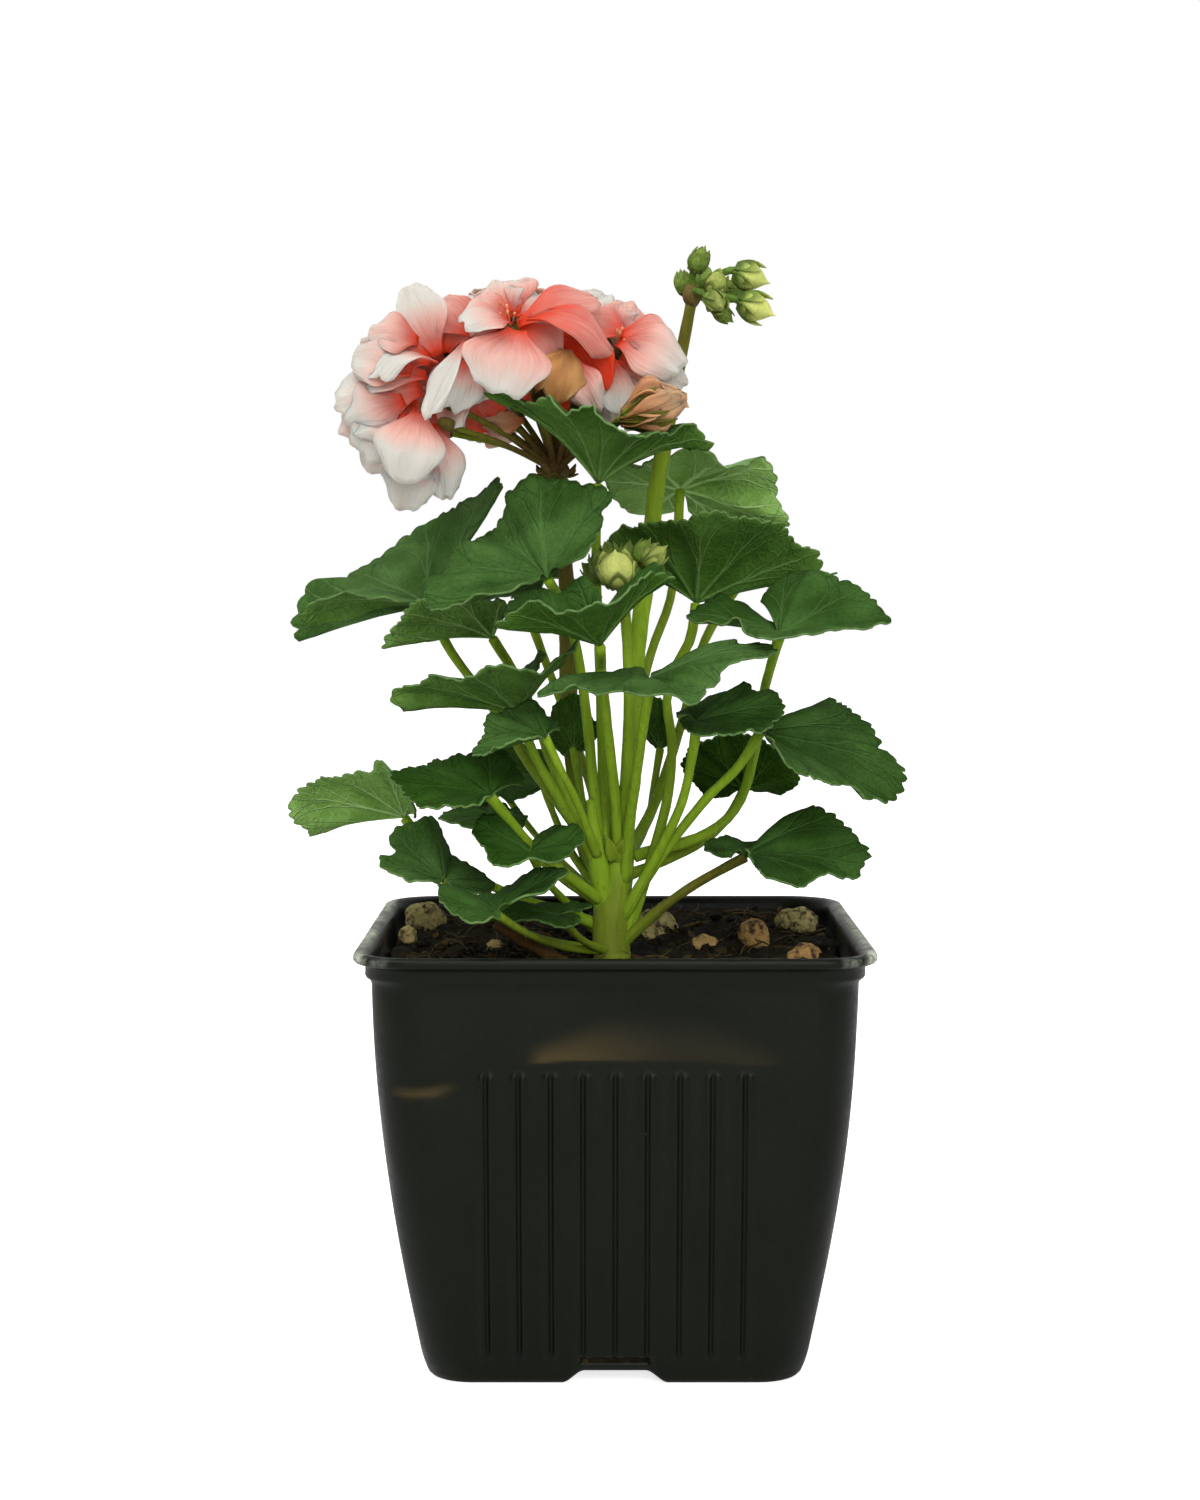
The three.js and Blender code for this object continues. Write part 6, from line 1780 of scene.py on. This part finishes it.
class GERANIUM_OT_petals(bpy.types.Operator):
    """Models the salmon and white petals of the open flower head, with their stamens"""

    bl_idname = "geranium.petals"
    bl_label = "Petals"

    def execute(self, context):
        pieces = []
        seed = PETAL_SEED
        for floret in FLORETS:
            heart = place(floret.heart)
            facing = Vector(floret.face)
            for column, row, side, length, width, tint in floret.petals:
                tip = place_at_reach(heart, length * MM, (column, row, side))
                seed += 1
                pieces.append(petal_piece(heart, tip, facing, width * MM, tint, seed))
            if floret.ring:
                pieces += self.ring_of(floret, heart, facing.normalized())
        for petal in FRONT_PETALS:
            seed += 1
            pieces.append(petal_piece(place(petal.claw), place(petal.tip), Vector(petal.face),
                                      petal.width * MM, petal.tint, seed, petal.bow))
        petals = joined("salmon_petals", pieces)
        dress(petals, petal_silk())
        names = [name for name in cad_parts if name.startswith("petals")]
        seat(petals, "salmon_petal", *names)

        filaments = []
        luck = random.Random(STAMEN_SEED)
        for floret in FLORETS[:OPEN_FLORETS]:
            heart, facing = place(floret.heart), Vector(floret.face).normalized()
            for _ in range(STAMENS):
                lean = Vector([luck.uniform(-0.4, 0.4) for _ in range(3)])
                way = (facing + lean).normalized()
                end = heart + way * (luck.uniform(3.6, 5.4) * MM)
                filaments.append(tube("filament", [heart, heart.lerp(end, 0.5) + lean * 0.3 * MM, end],
                                      (0.14, 0.13, 0.12), 5, 6))
                filaments.append(spindle("anther", end - way * 0.3 * MM, end + way * 1.0 * MM,
                                         bulge(0.34), 6, 6))
        stamens = joined("stamens", filaments)
        dress(stamens, stamen_skin())
        seat(stamens, "salmon_petal")
        return {"FINISHED"}

    @staticmethod
    def ring_of(floret, heart, facing):
        """Five petals spread evenly round a floret's heart."""
        luck = random.Random(sum(floret.heart))
        side = Quaternion(facing, luck.uniform(0, 1.2)) @ facing.orthogonal().normalized()
        petals = []
        for i in range(PETALS):
            way = Quaternion(facing, i * 2 * math.pi / PETALS + luck.uniform(-0.12, 0.12)) @ side
            rise = luck.uniform(0.1, 0.42)
            reach = floret.ring * luck.uniform(0.92, 1.06) * MM
            tip = heart + (way + facing * rise).normalized() * reach
            width = luck.uniform(11.5, 13.5) * MM
            petals.append(petal_piece(heart, tip, facing, width, luck.uniform(0.5, 1.05),
                                      luck.randrange(1000)))
        return petals


WILTING_FOOT, WILTING_TIP = place((619, 419, -21)), place((683, 396, -24))
WILTING_PROFILE = (0, 2.2, 2.6, 2.8, 2.8, 2.5, 1.8, 1.0, 0)
WILTING_SEPALS = ((-1, -0.45, 0.78), (-0.75, 0.7, 0.6), (-0.9, -1.2, 0.9), (0.6, -1, 0.7))
WILTING_SEED = 500
WILTING_PETALS, WILTING_TURN = 7, 0.9
BRACTS, BRACT_TURN = 12, 0.523
SEPALS = 5
SPARE_TIPS = (
    (459, 409, -7), (456, 428, -8), (498, 412, 2), (540, 404, -8), (574, 414, -6), (530, 400, 14),
    (505, 398, 20),
)


class GERANIUM_OT_flower_stalk(bpy.types.Operator):
    """Models the brown flower stalk, its hub, and the thin stalks and cups of the florets"""

    bl_idname = "geranium.flower_stalk"
    bl_label = "Flower stalk"

    def execute(self, context):
        pieces = [tube("peduncle", [place(spot) for spot in FLOWER_STALK.path], FLOWER_STALK.radii,
                       16, 60, wobble=0.1, brown=FLOWER_STALK.brown)]
        knot = spindle("hub", HUB - upright(4), HUB + Vector((-0.5, 0, 3.5)) * MM, bulge(3.1, 0.7),
                       16, 14, 0.12)
        pieces.append(paint(knot, "brown", 1.0))
        for turn in range(BRACTS):
            angle = turn * BRACT_TURN
            way = Vector((math.cos(angle), math.sin(angle), 0))
            foot = HUB + way * 2.2 * MM - upright(1.6)
            bract = small_blade(foot, foot + way * 2.6 * MM + upright(1 + turn % 3), way, 2.2 * MM)
            pieces.append(paint(bract, "brown", 0.95))
        for floret in FLORETS:
            pieces += self.floret_back(floret)
        for spot in SPARE_TIPS:
            pieces += self.spare_stalk(place(spot))
        foot, tip = WILTING_FOOT, WILTING_TIP
        wilting = spindle("wilting", foot, tip, lambda share: steps_of(WILTING_PROFILE, share),
                          20, 18, 0.06)
        pieces.append(paint(wilting, "brown", 0.5))
        for across, up, reach in WILTING_SEPALS:
            aside = Vector((0.1, across, up)).normalized()
            start = foot.lerp(tip, 0.02) + aside * 1.4 * MM
            end = foot.lerp(tip, reach) + aside * 4.3 * MM
            sepal = small_blade(start, end, aside, 2.6 * MM, curl=0.14)
            pieces.append(paint(sepal, "brown", 0.82))
        bend = [HUB, place((584, 446, 2)), place((606, 432, -12)), place((622, 418, -21.2))]
        pieces.append(tube("bent_stalk", bend, (0.8, 0.75, 0.75, 0.9), 10, 26, brown=(1, 0.7)))
        stalk = joined("brown_flower_stalk", pieces)
        dress(stalk, stem_skin())
        seat(stalk, "brown_stalk", "flower_stalk")

        cover = []
        for i in range(WILTING_PETALS):
            angle = i * WILTING_TURN
            side = Vector((0.1, math.cos(angle), math.sin(angle)))
            start = foot.lerp(tip, 0.04) + side * 1.4 * MM
            end = foot.lerp(tip, 0.98 + 0.08 * math.sin(i * 2.2)) + side * 0.8 * MM
            cover.append(petal_piece(start, end, side, 7 * MM, -0.8, WILTING_SEED + i, 0.2))
        wilted = joined("wilting_petals", cover)
        dress(wilted, petal_silk())
        seat(wilted, "salmon_petal")
        return {"FINISHED"}

    @staticmethod
    def floret_back(floret):
        """A floret's thin stalk, its cup and five sepals."""
        heart = place(floret.heart)
        facing = Vector(floret.face).normalized()
        outward = ((heart - HUB).normalized() + facing * HEART_SHARE).normalized()
        neck = heart - outward * CUP_LENGTH
        middle = HUB.lerp(neck, 0.5) + upright(1.2)
        parts = [tube("pedicel", [HUB, middle, neck + outward * MM], (0.85, 0.62, 0.72), 8, 16,
                      brown=(1, 0.75, 0.25))]
        parts.append(paint(spindle("cup", neck, heart, bulge(1.7), 12, 10), "brown", 0.95))
        side = outward.orthogonal().normalized()
        for i in range(SEPALS):
            turned = Quaternion(outward, i * 2 * math.pi / SEPALS) @ side
            foot = neck.lerp(heart, 0.35) + turned * 1.1 * MM
            tip = heart + turned * 2.4 * MM - outward * 0.4 * MM
            sepal = small_blade(foot, tip, turned, 2.0 * MM, curl=0.05)
            parts.append(paint(sepal, "brown", 0.8))
        return parts

    @staticmethod
    def spare_stalk(tip):
        """A stalk under the head that carries a small closed or spent floret."""
        middle = HUB.lerp(tip, 0.55) + upright(0.8)
        stalk = tube("pedicel", [HUB, middle, tip], (0.8, 0.6, 0.7), 8, 16, brown=(1, 0.9, 0.7))
        way = (tip - HUB).normalized()
        cup = spindle("cup", tip - way * 0.5 * MM, tip + way * 5 * MM, bulge(1.5), 10, 8)
        return [stalk, paint(cup, "brown", 0.92)]


BUD_PROFILE = (0, 0.55, 0.85, 0.97, 1.0, 0.97, 0.86, 0.66, 0.38, 0.12, 0)


class GERANIUM_OT_buds(bpy.types.Operator):
    """Models the two bud clusters, their green sepals and the paler opening buds"""

    bl_idname = "geranium.buds"
    bl_label = "Bud clusters"

    def execute(self, context):
        for cluster in CLUSTERS:
            hub = place(cluster.hub)
            base = spindle("base", hub - upright(1.6), hub + upright(4.6), bulge(2.1), 14, 10)
            paint(base, "ripe", 0.0)
            parts = [paint(base, "brown", 0.8)]
            heart = hub + upright(2.6)
            for number, (top, bottom, radius) in enumerate(cluster.buds):
                ripeness = PALE_BUDS.get((cluster.node, number), 0.1)
                parts += self.bud(heart, place(top), place(bottom), radius, ripeness)
            piece = joined(cluster.node.replace("buds", "bud_cluster"), parts)
            dress(piece, bud_skin())
            seat(piece, "green_bud", cluster.node)
        return {"FINISHED"}

    @staticmethod
    def bud(heart, tip, base, radius, ripeness):
        """A bud on its short stalk, wrapped in five sepals."""
        into = base.lerp(tip, 0.2)
        stalk = tube("bud_stalk", [heart, base, into], (0.9, 0.75, 0.9), 8, 10)
        paint(stalk, "ripe", 0.0)
        axis = tip - base
        core = spindle("bud", base, tip, lambda share: radius * steps_of(BUD_PROFILE, share), 16, 16, 0.05)
        along = [clamp((v.co - base).dot(axis) / axis.length_squared) for v in core.data.vertices]
        paint(core, "ripe", [ripeness * ease((share - 0.15) / 0.4) for share in along])
        paint(core, "brown", [0.5 * (1 - ease(share / 0.25)) for share in along])
        parts = [stalk, core]
        side = axis.orthogonal().normalized()
        for i in range(SEPALS):
            turned = Quaternion(axis.normalized(), i * 2 * math.pi / SEPALS + radius) @ side
            foot = base.lerp(tip, 0.08) + turned * radius * 0.62 * MM
            end = base.lerp(tip, 0.86 - 0.12 * ripeness) + turned * radius * (0.35 + 0.5 * ripeness) * MM
            sepal = small_blade(foot, end, turned, radius * 1.05 * MM, 0.25 * MM, curl=0.16)
            reach = [clamp((v.co - foot).dot(axis) / (end - foot).dot(axis)) for v in sepal.data.vertices]
            paint(sepal, "ripe", [0.05 + 0.6 * ripeness * ease((share - 0.4) / 0.6) for share in reach])
            parts.append(paint(sepal, "brown", 0.05))
        return parts


HAIR_FOOT = 90 * MM
HAIR_RADIUS = 0.028 * MM
HAIR_SEED = 21


class GERANIUM_OT_hairs(bpy.types.Operator):
    """Models the fine pale hairs on the stems and bud stalks"""

    bl_idname = "geranium.hairs"
    bl_label = "Plant hairs"

    count: IntProperty(name="Hairs", description="How many hairs are modelled", default=3600)

    def execute(self, context):
        luck = random.Random(HAIR_SEED)
        meshes = [bpy.data.objects[name].data for name in ("green_stems", "brown_flower_stalk")]
        faces = [face for mesh in meshes for face in mesh.polygons if face.center.z > HAIR_FOOT]
        weights = [face.area for face in faces]
        deselect()
        bpy.ops.mesh.primitive_cone_add(vertices=3, radius1=HAIR_RADIUS, radius2=0, depth=MM)
        hair = bpy.context.object
        hair.data.transform(Matrix.Translation(upright(0.45)))
        places = []
        for face in luck.choices(faces, weights, k=self.count):
            jitter = Vector([luck.uniform(-0.35, 0.35) for _ in range(3)])
            way = (face.normal + jitter).normalized()
            turn = Vector((0, 0, 1)).rotation_difference(way).to_matrix().to_4x4()
            size = luck.uniform(0.35, 0.95)
            places.append(Matrix.Translation(face.center) @ turn @ Matrix.Diagonal((1, 1, size, 1)))
        hairs = scattered("plant_hairs", hair, places)
        dress(hairs, hair_skin())
        seat(hairs, "green_stem")
        return {"FINISHED"}


# The stage
LIGHTS = (
    ("key_light", (-0.45, -0.55, 1.35), "key", 0.9),
    ("front_light", (0.3, -1.5, 0.75), "front", 1.0),
)
LIT_MIDDLE = Vector((0, 0, 0.12))
FLOOR_SIZE = 12


class GERANIUM_OT_stage(bpy.types.Operator):
    """Sets the pale floor, the soft light and the camera"""

    bl_idname = "geranium.stage"
    bl_label = "Studio"

    def execute(self, context):
        scene = context.scene
        settings = scene.geranium_stage
        scene.view_settings.view_transform = "Standard"
        deselect()
        bpy.ops.mesh.primitive_plane_add(size=FLOOR_SIZE, location=(0, 0, 0))
        floor = named("pale_floor")
        dress(floor, self.floor_finish(settings))
        self.room(scene, settings)
        for name, location, strength, size in LIGHTS:
            deselect()
            bpy.ops.object.light_add(type="AREA", location=location)
            light = bpy.context.object
            light.name = name
            light.data.energy = getattr(settings, strength)
            light.data.size = size
            way = LIT_MIDDLE - light.location
            light.rotation_euler = way.to_track_quat("-Z", "Y").to_euler()
        bpy.ops.object.camera_add(location=EYE, rotation=(math.pi / 2 - VIEW_PITCH, 0, 0))
        camera = bpy.context.object
        camera.data.sensor_width = SENSOR
        camera.data.lens = VIEW_FOCAL / VIEW_ROWS * SENSOR
        camera.data.clip_start = 0.01
        scene.camera = camera
        return {"FINISHED"}

    @staticmethod
    def floor_finish(settings):
        """A plain white floor that glows to the eye, and sends only some light back up."""

        def build(sheet, where, _):
            nodes = sheet.tree.nodes
            bounce = sheet.read(0, "ShaderNodeBsdfDiffuse", {"Color": (0.85, 0.85, 0.85, 1)})
            glow = Value(sheet, nodes["Principled BSDF"].outputs[0])
            sheet.shown_apart(bounce, glow, nodes["Material Output"].inputs["Surface"])
            mottle = sheet.rise(sheet.cloud(where, 1.5), 0, 1, 0.985, 1.0)
            return (sheet.mix(mottle, (0.9, 0.9, 0.9, 1), colour(settings.floor)),)

        return finish("pale floor", build, Roughness=0.9, Specular_IOR_Level=0.0,
                      Emission_Color=(1, 1, 1, 1), Emission_Strength=0.75)

    @staticmethod
    def room(scene, settings):
        """A white room that is bright above and behind, and darker where the front reflects it."""
        scene.world = bpy.data.worlds.new("white room")
        scene.world.use_nodes = True
        tree = scene.world.node_tree
        sheet = Sheet(tree)
        white = (1, 1, 1, 1)
        seen = sheet.read(0, "ShaderNodeBackground", {"Color": white, "Strength": 1.0})
        generated = sheet.read("Generated", "ShaderNodeTexCoord")
        way = sheet.spread("ShaderNodeSeparateXYZ", {0: generated})
        back = sheet.rise(way["Y"], -0.7, 0.2, 0.6, 1.0)
        top = sheet.rise(way["Z"], 0.1, 0.9, 0.0, 0.6)
        lit = tree.nodes["Background"]
        sheet.feed(lit.inputs["Strength"], sheet.sum("MAXIMUM", back, top) * settings.fill)
        sheet.feed(lit.inputs["Color"], white)
        sheet.shown_apart(Value(sheet, lit.outputs[0]), seen, tree.nodes["World Output"].inputs["Surface"])


PIECES = (
    GERANIUM_OT_stage, GERANIUM_OT_pot, GERANIUM_OT_soil, GERANIUM_OT_granules,
    GERANIUM_OT_stems, GERANIUM_OT_leaves, GERANIUM_OT_flower_stalk, GERANIUM_OT_petals,
    GERANIUM_OT_buds, GERANIUM_OT_hairs,
)


class GERANIUM_PT_panel(bpy.types.Panel):
    """Lists the pieces of the potted geranium"""

    bl_label = "Potted geranium"
    bl_idname = "GERANIUM_PT_panel"
    bl_space_type = "VIEW_3D"
    bl_region_type = "UI"
    bl_category = "Geranium"

    def draw(self, context):
        for piece in PIECES:
            self.layout.operator(piece.bl_idname)
        for key, group in SETTINGS.items():
            box = self.layout.box()
            for label in group.__annotations__:
                box.prop(getattr(context.scene, key), label)


CLASSES = (*SETTINGS.values(), *PIECES, GERANIUM_PT_panel)


def register():
    """Adds the settings, the operators and the panel."""
    for item in CLASSES:
        bpy.utils.register_class(item)
    for key, group in SETTINGS.items():
        setattr(bpy.types.Scene, key, PointerProperty(type=group))


def unregister():
    """Takes them away again."""
    for key in SETTINGS:
        delattr(bpy.types.Scene, key)
    for item in reversed(CLASSES):
        bpy.utils.unregister_class(item)


def main():
    register()
    for piece in PIECES:
        family, name = piece.bl_idname.split(".")
        getattr(getattr(bpy.ops, family), name)()


if __name__ == "__main__":
    main()
